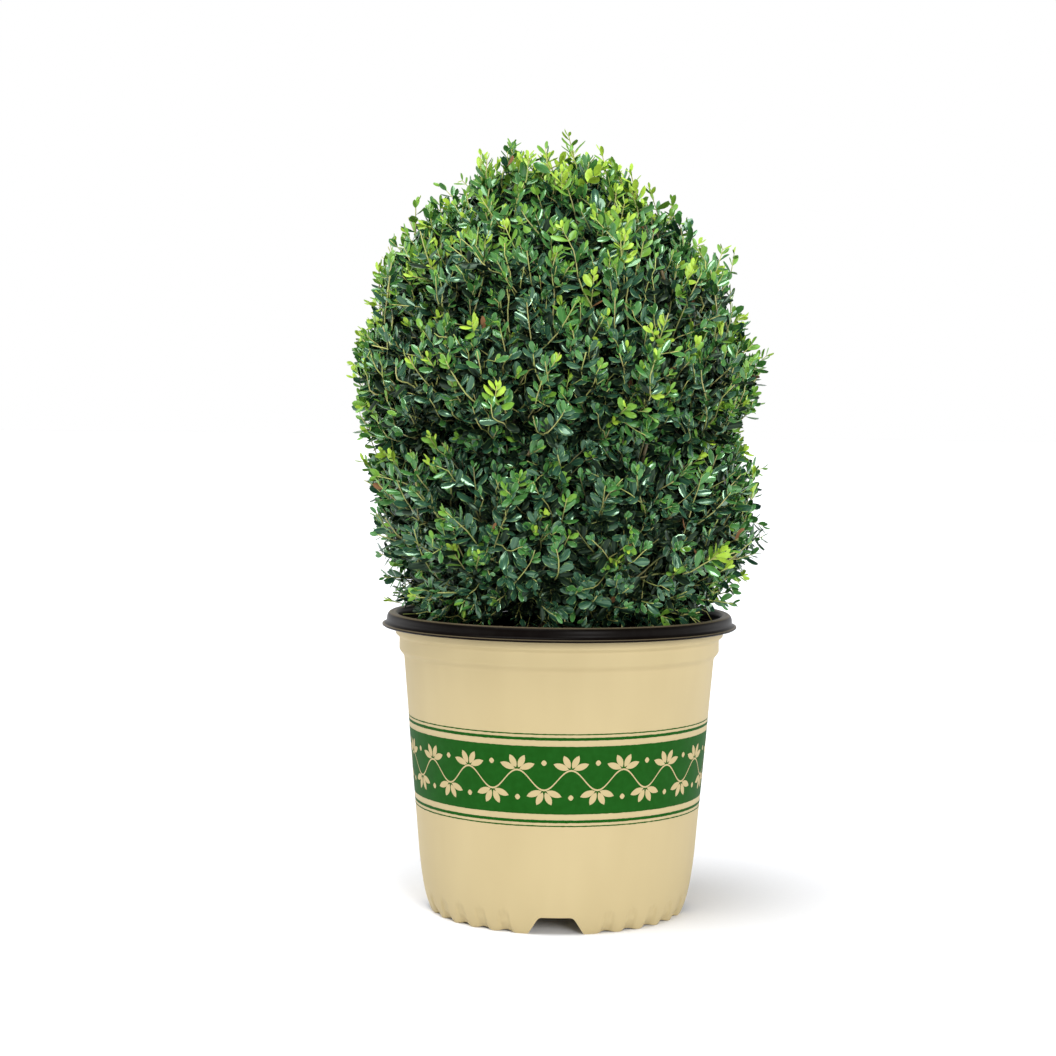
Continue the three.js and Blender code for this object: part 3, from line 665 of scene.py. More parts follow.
class BOXWOOD_OT_pot_rim(bpy.types.Operator):
    """Rolls the black rim and lines the wall with its black inside"""

    bl_idname = "boxwood.pot_rim"
    bl_label = "Pot rim and lining"

    def execute(self, context):
        pot = context.scene.boxwood_pot
        black, dusty = tuple(pot.black), tuple(pot.black_dusty)
        # The colour of the rim's painted highlight lines
        material = moulded_polyethylene("polyethylene_rolled_rim", black, dusty, linear("5F5543"))
        inside_material = moulded_polyethylene("polyethylene_black_inside", black, black, black)
        lip_top = RIM_UNDERSIDE + RIM_LIP_HEIGHT
        crest = (RIM_BEAD_RADIUS + RIM_BORE_RADIUS) / 2
        lip = [
            (RIM_BORE_RADIUS, RIM_UNDERSIDE),
            (RIM_RADIUS - LIP_UNDERCUT, RIM_UNDERSIDE),
            (RIM_RADIUS, RIM_UNDERSIDE + LIP_ROUND),
            (RIM_RADIUS, lip_top - LIP_ROUND),
        ]
        step = arc(lip[-1], (RIM_BEAD_RADIUS + 1, lip_top), (RIM_BEAD_RADIUS, lip_top + RIM_LIP_HEIGHT), 5)
        outside = arc(step[-1], (RIM_BEAD_RADIUS, POT_HEIGHT), (crest + 1, POT_HEIGHT), 8)
        groove = [(crest, POT_HEIGHT - RIM_GROOVE), (crest - 1, POT_HEIGHT - GROOVE_SLOPE)]
        inside = arc(groove[-1], (RIM_BORE_RADIUS, POT_HEIGHT), (RIM_BORE_RADIUS, POT_HEIGHT - BORE_ROUND), 6)
        rim = spun(lip + step + outside + groove + inside, RIM_STEPS, closed=True)
        rim_mesh = mesh_of(rim, "pot_rim_rolled", crease_degrees=50)
        add_piece("pot_rim_rolled", rim_mesh, material, ["pot_rim"])
        inwards = pot.wall / MM + FIT_GAP
        outer = sleeve(inwards, FLOOR_TOP + FIT_GAP)
        inner = sleeve(inwards + LINING_THICKNESS, FLOOR_TOP + FIT_GAP)
        lining = spun(outer + inner[::-1], RIM_STEPS, closed=True)
        lining_mesh = mesh_of(lining, "pot_lining_black", crease_degrees=30)
        add_piece("pot_lining_black", lining_mesh, inside_material, ["pot_lining"])
        return {"FINISHED"}


# The print

PRINT_LEVEL = 116.5
PRINT_LENGTH = 2 * math.pi * cone_radius(PRINT_LEVEL)
INK_PROUD = 0.12
GARLAND_PROUD = 0.2
PINSTRIPE_OFFSETS = (5.5, 9.0)
PINSTRIPE_WIDTHS = (2.2, 0.9)
EDGE_WANDER = 0.22
WANDER_CIRCLE = 40
WANDER_AT_TOP = 7.0
STEM_RISE = 7.5
STEM_WIDTH = 1.3
STEM_STEPS = 24
LEAF_LEANS = ((0.35, 14), (1.1, 12.5), (2.04, 12.5), (2.79, 14))
PRINTED_LEAF_WIDTH = 4.8
PRINTED_LEAF_GAP = 1.8
PRINTED_FULLNESS = 0.75
BERRY_DROP = 13
BERRY_WIDTH = 4.2


def onto_wall(around, height, proud):
    """A place on the wall's taper, by its distance round the pot from the front and its height."""
    turn = around / cone_radius(PRINT_LEVEL) - math.pi / 2
    reach = (cone_radius(height) + proud) * MM
    return Vector((reach * math.cos(turn), reach * math.sin(turn), height * MM))


def printed_hoop(bm, foot, top):
    """A printed hoop round the wall, whose edges wander a little as screen print does."""
    grid = bmesh.ops.create_grid(bm, x_segments=POT_STEPS, y_segments=1, size=0.5)
    for vert in grid["verts"]:
        turn = (vert.co.x + 0.5) * 2 * math.pi
        height, wander = (top, WANDER_AT_TOP) if vert.co.y > 0 else (foot, foot)
        place = Vector((WANDER_CIRCLE * math.cos(turn), WANDER_CIRCLE * math.sin(turn), wander))
        height += EDGE_WANDER * noise.noise(place)
        vert.co = onto_wall((vert.co.x + 0.5) * PRINT_LENGTH, height, INK_PROUD)


def printed_shape(bm, around, height, length, width, turn, gap=0):
    """A printed leaf or berry: a grid drawn in to an outline and bent round the wall."""
    grid = bmesh.ops.create_grid(bm, x_segments=6, y_segments=2, size=0.5)
    for vert in grid["verts"]:
        along = vert.co.x + 0.5
        outline = math.sin(math.pi * along) ** PRINTED_FULLNESS
        x, y = gap + along * length, vert.co.y * width * outline
        vert.co = onto_wall(
            around + x * math.cos(turn) - y * math.sin(turn),
            height + x * math.sin(turn) + y * math.cos(turn),
            GARLAND_PROUD,
        )


class BOXWOOD_OT_print(bpy.types.Operator):
    """Prints a plain band, pinstripes and a garland of leaves round the pot"""

    bl_idname = "boxwood.print"
    bl_label = "Printed band"

    def execute(self, context):
        pot = context.scene.boxwood_pot
        foot, top = pot.band_foot / MM, (pot.band_foot + pot.band_height) / MM
        ink = screen_print_ink("screen_print_green", tuple(pot.ink), tuple(pot.ink_thin))
        band = bmesh.new()
        printed_hoop(band, foot, top)
        for offset, width in zip(PINSTRIPE_OFFSETS, PINSTRIPE_WIDTHS):
            printed_hoop(band, foot - offset - width / 2, foot - offset + width / 2)
            printed_hoop(band, top + offset - width / 2, top + offset + width / 2)
        add_piece("printed_band", mesh_of(welded(band), "printed_band"), ink)
        self.print_garland(pot, (foot + top) / 2)
        return {"FINISHED"}

    def print_garland(self, pot, middle):
        """Prints a waving stem with a leaf on each side of every crest, and a berry in each hollow."""
        cream = screen_print_ink("screen_print_cream", tuple(pot.cream), tuple(pot.cream_shade))
        bm = bmesh.new()
        wave = PRINT_LENGTH / pot.garland_waves

        def stem_height(around):
            return middle + STEM_RISE * math.sin(2 * math.pi * around / wave)

        steps = pot.garland_waves * STEM_STEPS
        grid = bmesh.ops.create_grid(bm, x_segments=steps, y_segments=1, size=0.5)
        for vert in grid["verts"]:
            around = (vert.co.x + 0.5) * PRINT_LENGTH
            vert.co = onto_wall(around, stem_height(around) + vert.co.y * STEM_WIDTH, GARLAND_PROUD)
        for i in range(pot.garland_waves):
            for half, side in ((0.25, 1), (0.75, -1)):
                crest = (i + half) * wave
                for lean, reach in LEAF_LEANS:
                    place = (crest, stem_height(crest), reach - PRINTED_LEAF_GAP)
                    printed_shape(bm, *place, PRINTED_LEAF_WIDTH, side * lean, PRINTED_LEAF_GAP)
                hollow = middle - side * BERRY_DROP
                printed_shape(bm, crest - BERRY_WIDTH / 2, hollow, BERRY_WIDTH, BERRY_WIDTH, 0)
        add_piece("printed_garland", mesh_of(welded(bm), "printed_garland"), cream)


# The potting mix

SOIL_STEPS = 120
SOIL_RINGS = 40
SOIL_SINK = 1.4
SOIL_RELIEF = 1.3
LUMP_WIDTH = 9
CRUMB_WIDTH = 3
CRUMB_PART = 0.5
CHIP_COUNT = 1500
CHIP_LENGTH = 7.0
CHIP_SHAPE = (1.0, 0.45, 0.22)
CHIP_UNEVENNESS = 0.25
CHIP_GRAIN = 7
CHIP_EDGE = 3
CHIP_LIFT = 0.2
CHIP_LEAST = 0.4
CHIP_SPREAD = 0.8
GRAIN_COUNT = 70
GRAIN_WIDTH = 3.0


def soil_height(x, y):
    """The mix's surface, domed to the stem and lumpy, in millimetres."""
    out = math.hypot(x, y) / SOIL_RADIUS
    lumps = noise.noise(Vector((x / LUMP_WIDTH, y / LUMP_WIDTH, 0)))
    lumps += CRUMB_PART * noise.noise(Vector((x / CRUMB_WIDTH, y / CRUMB_WIDTH, 5)))
    return SOIL_TOP - SOIL_EDGE_DROP * out**2 - SOIL_SINK + SOIL_RELIEF * lumps


def scattered(template, places, turns, sizes):
    """Copies of a small bmesh at places, each turned and scaled, as one mesh's arrays."""
    corners = np.array([vert.co for vert in template.verts])
    faces = np.array([[vert.index for vert in face.verts] for face in template.faces])
    points, triangles = [], []
    for i, (place, turn, size) in enumerate(zip(places, turns, sizes)):
        spin = np.array(Euler(turn).to_matrix())
        points.append(place + (corners * size) @ spin.T)
        triangles.append(faces + i * len(corners))
    return np.concatenate(points), np.concatenate(triangles)


class BOXWOOD_OT_potting_mix(bpy.types.Operator):
    """Fills the pot with bark and peat, with chips and a few feed grains on top"""

    bl_idname = "boxwood.potting_mix"
    bl_label = "Potting mix"

    def execute(self, context):
        dark = composted_bark("composted_bark_dark", linear("1E1712"), linear("3A2D22"))
        pale = composted_bark("composted_bark_chips", linear("3B2C20"), linear("6A543D"))
        coated = composted_bark("feed_grains_coated", linear("8A7A4C"), linear("B5A672"))
        foot_radius = SOIL_RADIUS - (SHOULDER_RADIUS - FOOT_RADIUS)
        rings = [(SOIL_RADIUS * (1 - i / SOIL_RINGS), SOIL_TOP) for i in range(SOIL_RINGS + 1)]
        bm = spun([(0, SOIL_FOOT), (foot_radius, SOIL_FOOT), *rings], SOIL_STEPS, closed=False)
        for vert in bm.verts:
            if vert.co.z / MM > SOIL_TOP - 1:
                vert.co.z = soil_height(vert.co.x / MM, vert.co.y / MM) * MM
        add_piece("potting_mix", mesh_of(bm, "potting_mix"), dark, ["root_ball"])
        strewn = (
            ("bark_chips", pale, np.arange(CHIP_COUNT), CHIP_LENGTH, CHIP_SHAPE),
            ("feed_grains", coated, np.arange(GRAIN_COUNT) + CHIP_COUNT, GRAIN_WIDTH, (1, 1, 1)),
        )
        for name, material, index, length, shape in strewn:
            mesh = mesh_from_arrays(name, *self.scatter(index, length, shape))
            add_piece(name, mesh, material)
        return {"FINISHED"}

    def scatter(self, index, length, shape):
        """Strews small rounded lumps over the mix."""
        lump = bmesh.new()
        bmesh.ops.create_icosphere(lump, subdivisions=1, radius=0.5)
        for vert in lump.verts:
            vert.co *= 1 + CHIP_UNEVENNESS * noise.noise(vert.co * CHIP_GRAIN)
            vert.co = Vector(side * part for side, part in zip(vert.co, shape))
        lump.verts.index_update()
        out = (SOIL_RADIUS - CHIP_EDGE) * np.sqrt(seeded(index, "chip_place"))
        turn = 2 * math.pi * seeded(index, "chip_turn")
        spots = zip(out * np.cos(turn), out * np.sin(turn))
        places = np.array([(x, y, soil_height(x, y) + CHIP_LIFT) for x, y in spots])
        tilts = np.stack([seeded(index, "tilt") - 0.5, seeded(index, "roll") - 0.5, 5 * turn], axis=1)
        sizes = length * (CHIP_LEAST + CHIP_SPREAD * seeded(index, "chip_size") ** 2)
        points, triangles = scattered(lump, places, tilts, sizes)
        lump.free()
        return points, triangles


# The limbs

UP = np.array([0.0, 0.0, 1.0])
BARK_SIDES = 20
BARK_RIDGE = 0.14
BARK_GRAIN = 7.0
BARK_FURROWS = 2.2
HEADING_STEP = 0.01
TRUNK_STEP = 1.2
BOUGH_STEP = 2.0


def bezier(corners, t):
    """A point of a Bezier curve through its corner points, by repeated halving of the spans."""
    points = [Vector(corner) for corner in corners]
    while len(points) > 1:
        points = [a.lerp(b, t) for a, b in zip(points, points[1:])]
    return points[0]


def ridged_limb(corners, radius_at, step_length):
    """A limb along a Bezier curve: a grid rolled into a tube and closed, its bark raised in ridges."""
    length = sum((Vector(b) - Vector(a)).length for a, b in zip(corners, corners[1:]))
    steps = math.ceil(length / step_length)
    bm = bmesh.new()
    grid = bmesh.ops.create_grid(bm, x_segments=steps, y_segments=BARK_SIDES, size=0.5)
    for vert in grid["verts"]:
        along, turn = vert.co.x + 0.5, 2 * math.pi * (vert.co.y + 0.5)
        place = bezier(corners, along)
        heading = bezier(corners, min(along + HEADING_STEP, 1))
        heading -= bezier(corners, max(along - HEADING_STEP, 0))
        spoke = Vector((math.cos(turn), math.sin(turn), 0))
        lengthwise = along * length / BARK_GRAIN + corners[0][2]
        grain = Vector((BARK_FURROWS * spoke.x, BARK_FURROWS * spoke.y, lengthwise))
        radius = radius_at(along) * (1 + BARK_RIDGE * noise.noise(grain))
        spoke.rotate(Vector(UP).rotation_difference(heading))
        vert.co = (place + spoke * radius) * MM
    bmesh.ops.remove_doubles(bm, verts=bm.verts, dist=1e-7)
    ends = [edge for edge in bm.edges if edge.is_boundary]
    bmesh.ops.holes_fill(bm, edges=ends, sides=0)
    bmesh.ops.recalc_face_normals(bm, faces=bm.faces)
    return bm


class Site(NamedTuple):
    """The middle of one mass of the crown, and where its bough leaves the trunk."""

    name: str
    place: np.ndarray
    leaves_trunk_at: float


def mass_sites():
    """The sites of the masses, ring by ring."""
    sites = []
    for ring in MASS_RINGS:
        for i in range(ring["count"]):
            turn = math.radians(ring["turn"] + i * 360 / ring["count"])
            flat = ring["radius"] * np.array([math.cos(turn), math.sin(turn), 0])
            name = f"{ring['name']}_{i + 1}" if ring["count"] > 1 else ring["name"]
            sites.append(Site(name, flat + ring["height"] * UP, ring["leaves_trunk_at"]))
    return sites


SITES = mass_sites()
SITE_PLACES = np.array([site.place for site in SITES])
FORK = FORK_HEIGHT * UP
BARE_PLACES = np.array([FORK, BARE_MIDDLE_HEIGHT * UP])
CROWN_MIDDLE = CROWN_WIDEST_HEIGHT * UP


def share(points):
    """How far out points lie in the crown: 0 in the middle of its widest level, 1 on its outline."""
    above = points[..., 2] >= CROWN_WIDEST_HEIGHT
    power = np.where(above, DOME_POWER, SKIRT_POWER)
    rise = np.where(above, CROWN_TOP_HEIGHT - CROWN_WIDEST_HEIGHT, CROWN_WIDEST_HEIGHT - CROWN_BOTTOM_HEIGHT)
    across = np.hypot(points[..., 0], points[..., 1]) / CROWN_RADIUS
    upright = np.abs(points[..., 2] - CROWN_WIDEST_HEIGHT) / rise
    return (across**power + upright**power) ** (1 / power)


def crown_points(directions, shares):
    """The points in directions from the crown's middle, at shares of the way to its outline."""
    reach = shares / share(CROWN_MIDDLE + directions)
    return CROWN_MIDDLE + directions * reach[:, None]


def outwards(points):
    """The direction straight out of the crown's outline at points."""
    step = 0.5
    slopes = [share(points + step * axis) - share(points - step * axis) for axis in np.eye(3)]
    return unit(np.stack(slopes, axis=-1))


def nearest(points, places):
    """For each point, the number of the nearest of some places."""
    return np.argmin(np.linalg.norm(points[:, None] - places, axis=2), axis=1)


def depth_in_space(point, number):
    """How far a point is inside the space of one mass, measured to the nearest face of that space."""
    own = SITE_PLACES[number]
    others = np.concatenate([np.delete(SITE_PLACES, number, axis=0), BARE_PLACES])
    return np.min(np.sum(((others + own) / 2 - point) * unit(others - own), axis=1))


def into_mass(number):
    """The direction from the trunk's fork to the middle of a mass."""
    return unit(SITE_PLACES[number] - FORK)


def bough_end(number):
    """Where a bough ends: on its way from the fork to its mass, just short of that mass's space."""
    end = SITE_PLACES[number].copy()
    while depth_in_space(end, number) > -BOUGH_STOPS_SHORT:
        end -= into_mass(number)
    return end


def clear_of_pot(points):
    """Whether points are above the potting mix, and above the rim where they are over the rim."""
    over_rim = np.hypot(points[..., 0], points[..., 1]) > RIM_BORE_RADIUS - CLEAR_OF_RIM
    return points[..., 2] > np.where(over_rim, POT_HEIGHT + CLEAR_ABOVE_RIM, SOIL_TOP + CLEAR_ABOVE_SOIL)


class BOXWOOD_OT_limbs(bpy.types.Operator):
    """Grows the trunk and the boughs with their ridged bark"""

    bl_idname = "boxwood.limbs"
    bl_label = "Trunk and boughs"

    def execute(self, context):
        bark = box_bark(linear("9B8A63"), linear("5E4E38"))
        corners = [
            (-TRUNK_LEAN, 0, TRUNK_FOOT_HEIGHT),
            (-TRUNK_LEAN, 0, TRUNK_FOOT_HEIGHT + TRUNK_BEND),
            (0, 0, TRUNK_TIP_HEIGHT - TRUNK_BEND),
            (0, 0, TRUNK_TIP_HEIGHT),
        ]

        def flared(along):
            bare = TRUNK_RADIUS + (TRUNK_TIP_RADIUS - TRUNK_RADIUS) * along
            return bare * (1 + ROOT_FLARE * math.exp(-along * ROOT_FLARE_FADE))

        limbs = {"trunk": ridged_limb(corners, flared, TRUNK_STEP)}
        for number, site in enumerate(SITES):
            limbs[f"bough_{site.name}"] = self.bough(number, site)
        for name, bm in limbs.items():
            mesh = mesh_of(bm, f"{name}_bark", crease_degrees=60)
            add_piece(f"{name}_bark", mesh, bark, [name])
        return {"FINISHED"}

    def bough(self, number, site):
        """A bough leaves the trunk steeply outwards, turns up and runs on to the middle of its mass."""
        end = bough_end(number)
        start = np.array([0, 0, site.leaves_trunk_at])
        spread = np.array([end[0] * BOUGH_SPREAD, end[1] * BOUGH_SPREAD, 0])
        spread[2] = start[2] + (end[2] - start[2]) * BOUGH_RISE
        straight = BOUGH_STRAIGHT_END * np.linalg.norm(end - start)
        corners = [tuple(p) for p in (start, spread, end - straight * into_mass(number), end)]
        drawn_in = BOUGH_TIP_RADIUS - BOUGH_RADIUS
        return ridged_limb(corners, lambda along: BOUGH_RADIUS + drawn_in * along, BOUGH_STEP)


# The crown's growth

SWAY = 6.0
SWAY_WAVES = 3
# Painted shade on stems: the depth inside the outline where it starts, and the depth over which it grows full
STEM_SHADE_FROM = 8.0
STEM_SHADE_SPAN = 24.0


class Limbs(NamedTuple):
    """Many limbs as arrays, in millimetres: each curves from its root by its bend to its tip."""

    root: np.ndarray
    bend: np.ndarray
    tip: np.ndarray
    mass: np.ndarray
    index: np.ndarray
    relief: np.ndarray = 0.0

    def place(self, t):
        """The points at shares t of the way along each limb, with a slight sway."""
        t = t[..., None]
        root, bend, tip = (corner[:, None] for corner in (self.root, self.bend, self.tip))
        sway = SWAY * stray_of(self.index, "cup", "curl", "splay")
        swayed = sway[:, None] * np.sin(SWAY_WAVES * math.pi * t) * 4 * t * (1 - t)
        return (1 - t) ** 2 * root + 2 * t * (1 - t) * bend + t**2 * tip + swayed

    def heading(self, t):
        t = t[..., None]
        root, bend, tip = (corner[:, None] for corner in (self.root, self.bend, self.tip))
        return unit((1 - t) * (bend - root) + t * (tip - bend))

    def length(self):
        return np.linalg.norm(self.bend - self.root, axis=1) + np.linalg.norm(self.tip - self.bend, axis=1)

    def clear_ones(self):
        """The limbs that stay clear of the pot and its mix on their outer half."""
        outer_half = np.tile((0.6, 0.8, 1.0), (len(self.tip), 1))
        clear = clear_of_pot(self.place(outer_half)).all(axis=1)
        return Limbs(*(array[clear] for array in self))


def spiral_directions(index, count):
    """Directions from the crown's middle along the golden-angle spiral that the solids' twigs follow."""
    slope = 1 - ((index % count + 0.5) / count) * (1 - LOWEST_TWIG_SLOPE)
    turn = (index % count) * GOLDEN_ANGLE + (seeded(index, "turn") - 0.5) * TWIG_TURN_SPREAD
    level = np.sqrt(1 - slope**2)
    return np.stack([level * np.cos(turn), level * np.sin(turn), slope], axis=1)


def grow_stems():
    """The stem of each mass, which carries its bough on to the mass's middle."""
    number = np.arange(len(SITES))
    root = np.array([bough_end(i) for i in number])
    tip = SITE_PLACES
    return Limbs(root, (root + tip) / 2, tip, number, number)


def grow_twigs(stems):
    """The solids' twigs, each of which grows on from the stem of its mass."""
    index = np.arange(TWIG_COUNT)
    directions = spiral_directions(index, TWIG_COUNT)
    outline = crown_points(directions, np.ones(TWIG_COUNT))
    mass = nearest(outline, SITE_PLACES)
    depth = TWIG_TIP_DEPTH + (0.5 - seeded(index, "depth")) * TWIG_TIP_SPREAD
    tip = outline - directions * depth[:, None]
    bend = tip.copy()
    while np.any(share(bend) > TWIG_ROOT_SHARE):
        nearer = bend + TWIG_ROOT_STEP * (SITE_PLACES[mass] - bend)
        bend = np.where((share(bend) > TWIG_ROOT_SHARE)[:, None], nearer, bend)
    start = FIRST_TWIG_AT + (1 - FIRST_TWIG_AT) * seeded(index, "start")
    root = stems.root[mass] + start[:, None] * (stems.tip - stems.root)[mass]
    return Limbs(root, bend, tip, mass, index)


class Order(NamedTuple):
    """How one finer order of growth differs: lengths in millimetres, the rest weights of its direction."""

    first: int
    depth: float
    depth_spread: float
    length: float
    out: float
    along: float
    fan: float
    stray: float


BRANCHLET = Order(1000, depth=36.0, depth_spread=16.0, length=45.0, out=0.6, along=0.5, fan=0.6, stray=0.9)
LEADER = Order(5000, depth=9.0, depth_spread=16.0, length=72.0, out=0.38, along=0.95, fan=0.25, stray=1.1)
SHOOT = Order(10000, depth=20.0, depth_spread=28.0, length=30.0, out=0.4, along=0.5, fan=0.6, stray=1.3)
GROWTH_HUB = np.array([0.0, 0.0, 262.0])
ROOTS_TRIED = np.linspace(0.25, 0.97, 9)
ROOTS_STRAY = 0.07
LEAST_LENGTH = 0.7
LENGTH_SPREAD = 0.6
STEEPEST_RUN = 0.35

# Sprigs that stand out of the clipped outline, more of them from a height upwards
SPRIG_PART = 0.2
SPRIG_PART_AT_TOP = 0.25
SPRIG_REACH = 18.0
SPRIG_REACH_AT_TOP = 12.0
SPRIG_LEAST = 0.3
MORE_SPRIGS_FROM = 430
MORE_SPRIGS_SPAN = 60
OVER_REACH = 1.075
CUT_BACK = 8

# Lumps and hollows of the clipped surface
LUMP_RELIEF = 7.0
LUMP_SIZE = 42.0
HOLLOW_DEPTH = 18.0
HOLLOW_SIZE = 26.0
HOLLOWS_FROM = 0.12
HOLLOWS_FULL = 0.42

# How far the outline stands out of the mean one, or back from it: height, on the left and on the right
OUTLINE_RELIEF = (
    (225, -5, 0), (240, 2, -4), (257, -9, 0), (276, -15, 1), (295, 4, 9), (315, -16, -6), (334, 3, 3),
    (353, -7, -14), (372, -11, -17), (391, 13, -11), (410, 0, 4), (429, 20, 11), (448, 22, -6),
    (467, -11, 1), (486, 15, -18), (505, 19, 0), (524, 0, -20), (543, 8, -15), (562, -16, -13),
    (581, 9, -18), (596, -13, 2), (610, -8, 2),
)
EDGES_FROM = 15
UNDERSIDE_FROM = 0.3
UNDERSIDE_SPAN = 0.5
UNDERSIDE_FILL = 9.0


def outline_relief(outline):
    """How far clipped growth stands out of the mean outline at points of it, in millimetres."""
    lumps = np.array([noise.noise(Vector(point) / LUMP_SIZE) for point in outline])
    gaps = np.array([noise.noise(Vector(point) / HOLLOW_SIZE + Vector((9, 0, 0))) for point in outline])
    hollows = np.clip((gaps - HOLLOWS_FROM) / (HOLLOWS_FULL - HOLLOWS_FROM), 0, 1)
    heights, left, right = np.array(OUTLINE_RELIEF).T
    sideways = outline[:, 0] / (np.hypot(outline[:, 0], outline[:, 1]) + EDGES_FROM)
    to_right = 0.5 + 0.5 * sideways
    measured = (1 - to_right) * np.interp(outline[:, 2], heights, left)
    measured += to_right * np.interp(outline[:, 2], heights, right)
    downwards = -outwards(outline)[:, 2]
    underside = np.clip(downwards - UNDERSIDE_FROM, 0, UNDERSIDE_SPAN) / UNDERSIDE_SPAN
    return measured + LUMP_RELIEF * lumps - HOLLOW_DEPTH * hollows + UNDERSIDE_FILL * underside


def over_surface(tips):
    """The direction in which growth runs over the outline at tips, away from its hub low in the crown."""
    away = unit(tips - GROWTH_HUB)
    out = outwards(tips)
    flat = away - np.sum(away * out, axis=1, keepdims=True) * out
    return flat / np.maximum(np.linalg.norm(flat, axis=1, keepdims=True), STEEPEST_RUN)


def grow_on(parents, hubs, count, order):
    """Side growth: each new limb heads for its own point of the spiral, at a depth inside the outline.

    It runs out and over the surface, fans out from the nearest hub, and leaves an older limb of its mass
    where that comes nearest to the root that it would like.
    """
    index = order.first + np.arange(count)
    directions = spiral_directions(np.arange(count), count)
    outline = crown_points(directions, np.ones(count))
    mass = nearest(outline, SITE_PLACES)
    relief = outline_relief(outline)
    depth = order.depth + (0.5 - seeded(index, "depth")) * order.depth_spread - relief
    tip = outline - directions * depth[:, None]
    fan = unit(tip - hubs[nearest(tip, hubs)])
    run = order.out * outwards(tip) + order.along * over_surface(tip)
    heading = unit(run + order.fan * fan + order.stray * stray_of(index, "bend", "tilt", "roll"))
    reach = order.length * (LEAST_LENGTH + LENGTH_SPREAD * seeded(index, "sprig"))[:, None]
    wanted = tip - heading * reach
    places = parents.place(ROOTS_TRIED - ROOTS_STRAY * seeded(parents.index, "start")[:, None])
    root = np.empty_like(tip)
    for number in range(len(SITES)):
        chosen = np.flatnonzero(mass == number)
        candidates = places[parents.mass == number].reshape(-1, 3)
        root[chosen] = candidates[nearest(wanted[chosen], candidates)]
    span = np.linalg.norm(tip - root, axis=1, keepdims=True)
    return Limbs(root, tip - heading * span * 0.5, tip, mass, index, relief).clear_ones()


def with_sprigs(limbs):
    """Lets a part of the limbs stand out of the clipped outline, more of them near the top."""
    heading = unit(limbs.tip - limbs.bend)
    near_top = np.clip((limbs.tip[:, 2] - MORE_SPRIGS_FROM) / MORE_SPRIGS_SPAN, 0, 1)
    long = seeded(limbs.index, "dead") < SPRIG_PART + SPRIG_PART_AT_TOP * near_top
    reach = SPRIG_REACH + SPRIG_REACH_AT_TOP * near_top
    part = SPRIG_LEAST + (1 - SPRIG_LEAST) * seeded(limbs.index, "curl")
    tip = limbs.tip + heading * np.where(long, reach * part, 0)[:, None]
    over = share(tip) > OVER_REACH
    return limbs._replace(tip=np.where(over[:, None], tip - heading * CUT_BACK, tip))


@functools.lru_cache(maxsize=None)
def grown_crown(branchlet_count, leader_count, shoot_count):
    """Everything in the crown that isn't a leaf, from the stems of the masses to the leafy shoots."""
    stems = grow_stems()
    twigs = grow_twigs(stems)
    branchlets = grow_on(twigs, SITE_PLACES, branchlet_count, BRANCHLET)
    leaders = grow_on(branchlets, twigs.bend, leader_count, LEADER)
    carriers = Limbs(*(np.concatenate(pair) for pair in zip(branchlets, leaders)))
    shoots = grow_on(carriers, twigs.bend, shoot_count, SHOOT)
    return stems, twigs, branchlets, with_sprigs(leaders), with_sprigs(shoots)


def tubes(limbs, root_radius, tip_radius, steps, sides):
    """Tapering tubes along many limbs, as one mesh's points and triangles."""
    t = np.tile(np.linspace(0, 1, steps + 1), (len(limbs.root), 1))
    places, headings = limbs.place(t), limbs.heading(t)
    side = unit(np.cross(headings, np.where(np.abs(headings[..., 2:]) > 0.9, [1.0, 0, 0], UP)))
    other = np.cross(headings, side)
    turn = 2 * math.pi * np.arange(sides) / sides
    radius = (root_radius + (tip_radius - root_radius) * t)[..., None, None]
    spokes = side[..., None, :] * np.cos(turn)[:, None] + other[..., None, :] * np.sin(turn)[:, None]
    points = (places[..., None, :] + radius * spokes).reshape(-1, 3)
    step, corner = (grid.ravel() for grid in np.meshgrid(np.arange(steps), np.arange(sides), indexing="ij"))
    after = (corner + 1) % sides
    low, high = step * sides, (step + 1) * sides
    below = np.stack([low + corner, low + after, high + after], axis=1)
    above = np.stack([low + corner, high + after, high + corner], axis=1)
    caps = np.array([[0, i, i + 1] for i in range(1, sides - 1)]) + steps * sides
    one = np.concatenate([below, above, caps])
    first = np.arange(len(limbs.root)) * (steps + 1) * sides
    return points, (one[None] + first[:, None, None]).reshape(-1, 3)


class BOXWOOD_OT_twigs(bpy.types.Operator):
    """Grows the stems, twigs and shoots that carry the leaves"""

    bl_idname = "boxwood.twigs"
    bl_label = "Twigs and shoots"

    def execute(self, context):
        crown = context.scene.boxwood_crown
        counts = (crown.branchlet_count, crown.leader_count, crown.shoot_count)
        stems, twigs, branchlets, leaders, shoots = grown_crown(*counts)
        woody = living_stem("box_twig_woody", linear("7D6C4A"), linear("A08C62"))
        ripe = living_stem("box_twig_ripened", tuple(crown.stem_ripe), tuple(crown.stem))
        green = living_stem("box_shoot_green", tuple(crown.stem), linear("B7B56A"))
        # Each piece's name, material and limbs, with the radius at the root and the tip, steps and sides
        pieces = (
            ("mass_stems", woody, tubes(stems, BOUGH_TIP_RADIUS, 2.2, 4, 8)),
            ("twigs", woody, tubes(twigs, 2.0, 1.2, 6, 6)),
            ("branchlets", ripe, tubes(branchlets, 1.1, 0.7, 5, 4)),
            ("leaders", ripe, tubes(leaders, 0.8, 0.42, 9, 4)),
            ("shoots", green, tubes(shoots, 0.6, 0.36, 5, 3)),
        )
        for name, material, (points, triangles) in pieces:
            # How deep each point lies inside the crown, for the stems' painted shade
            inside = np.clip((CROWN_RADIUS * (1 - share(points)) - STEM_SHADE_FROM) / STEM_SHADE_SPAN, 0, 1)
            mesh = mesh_from_arrays(name, points, triangles, **{STEM_SHADE_ATTRIBUTE: inside})
            add_piece(name, mesh, material)
        return {"FINISHED"}


# The leaves

LEAF_KINDS = ("painted_shade", "old", "grown", "fresh", "young", "dead")
LEAVES_PER_PIECE = 12400
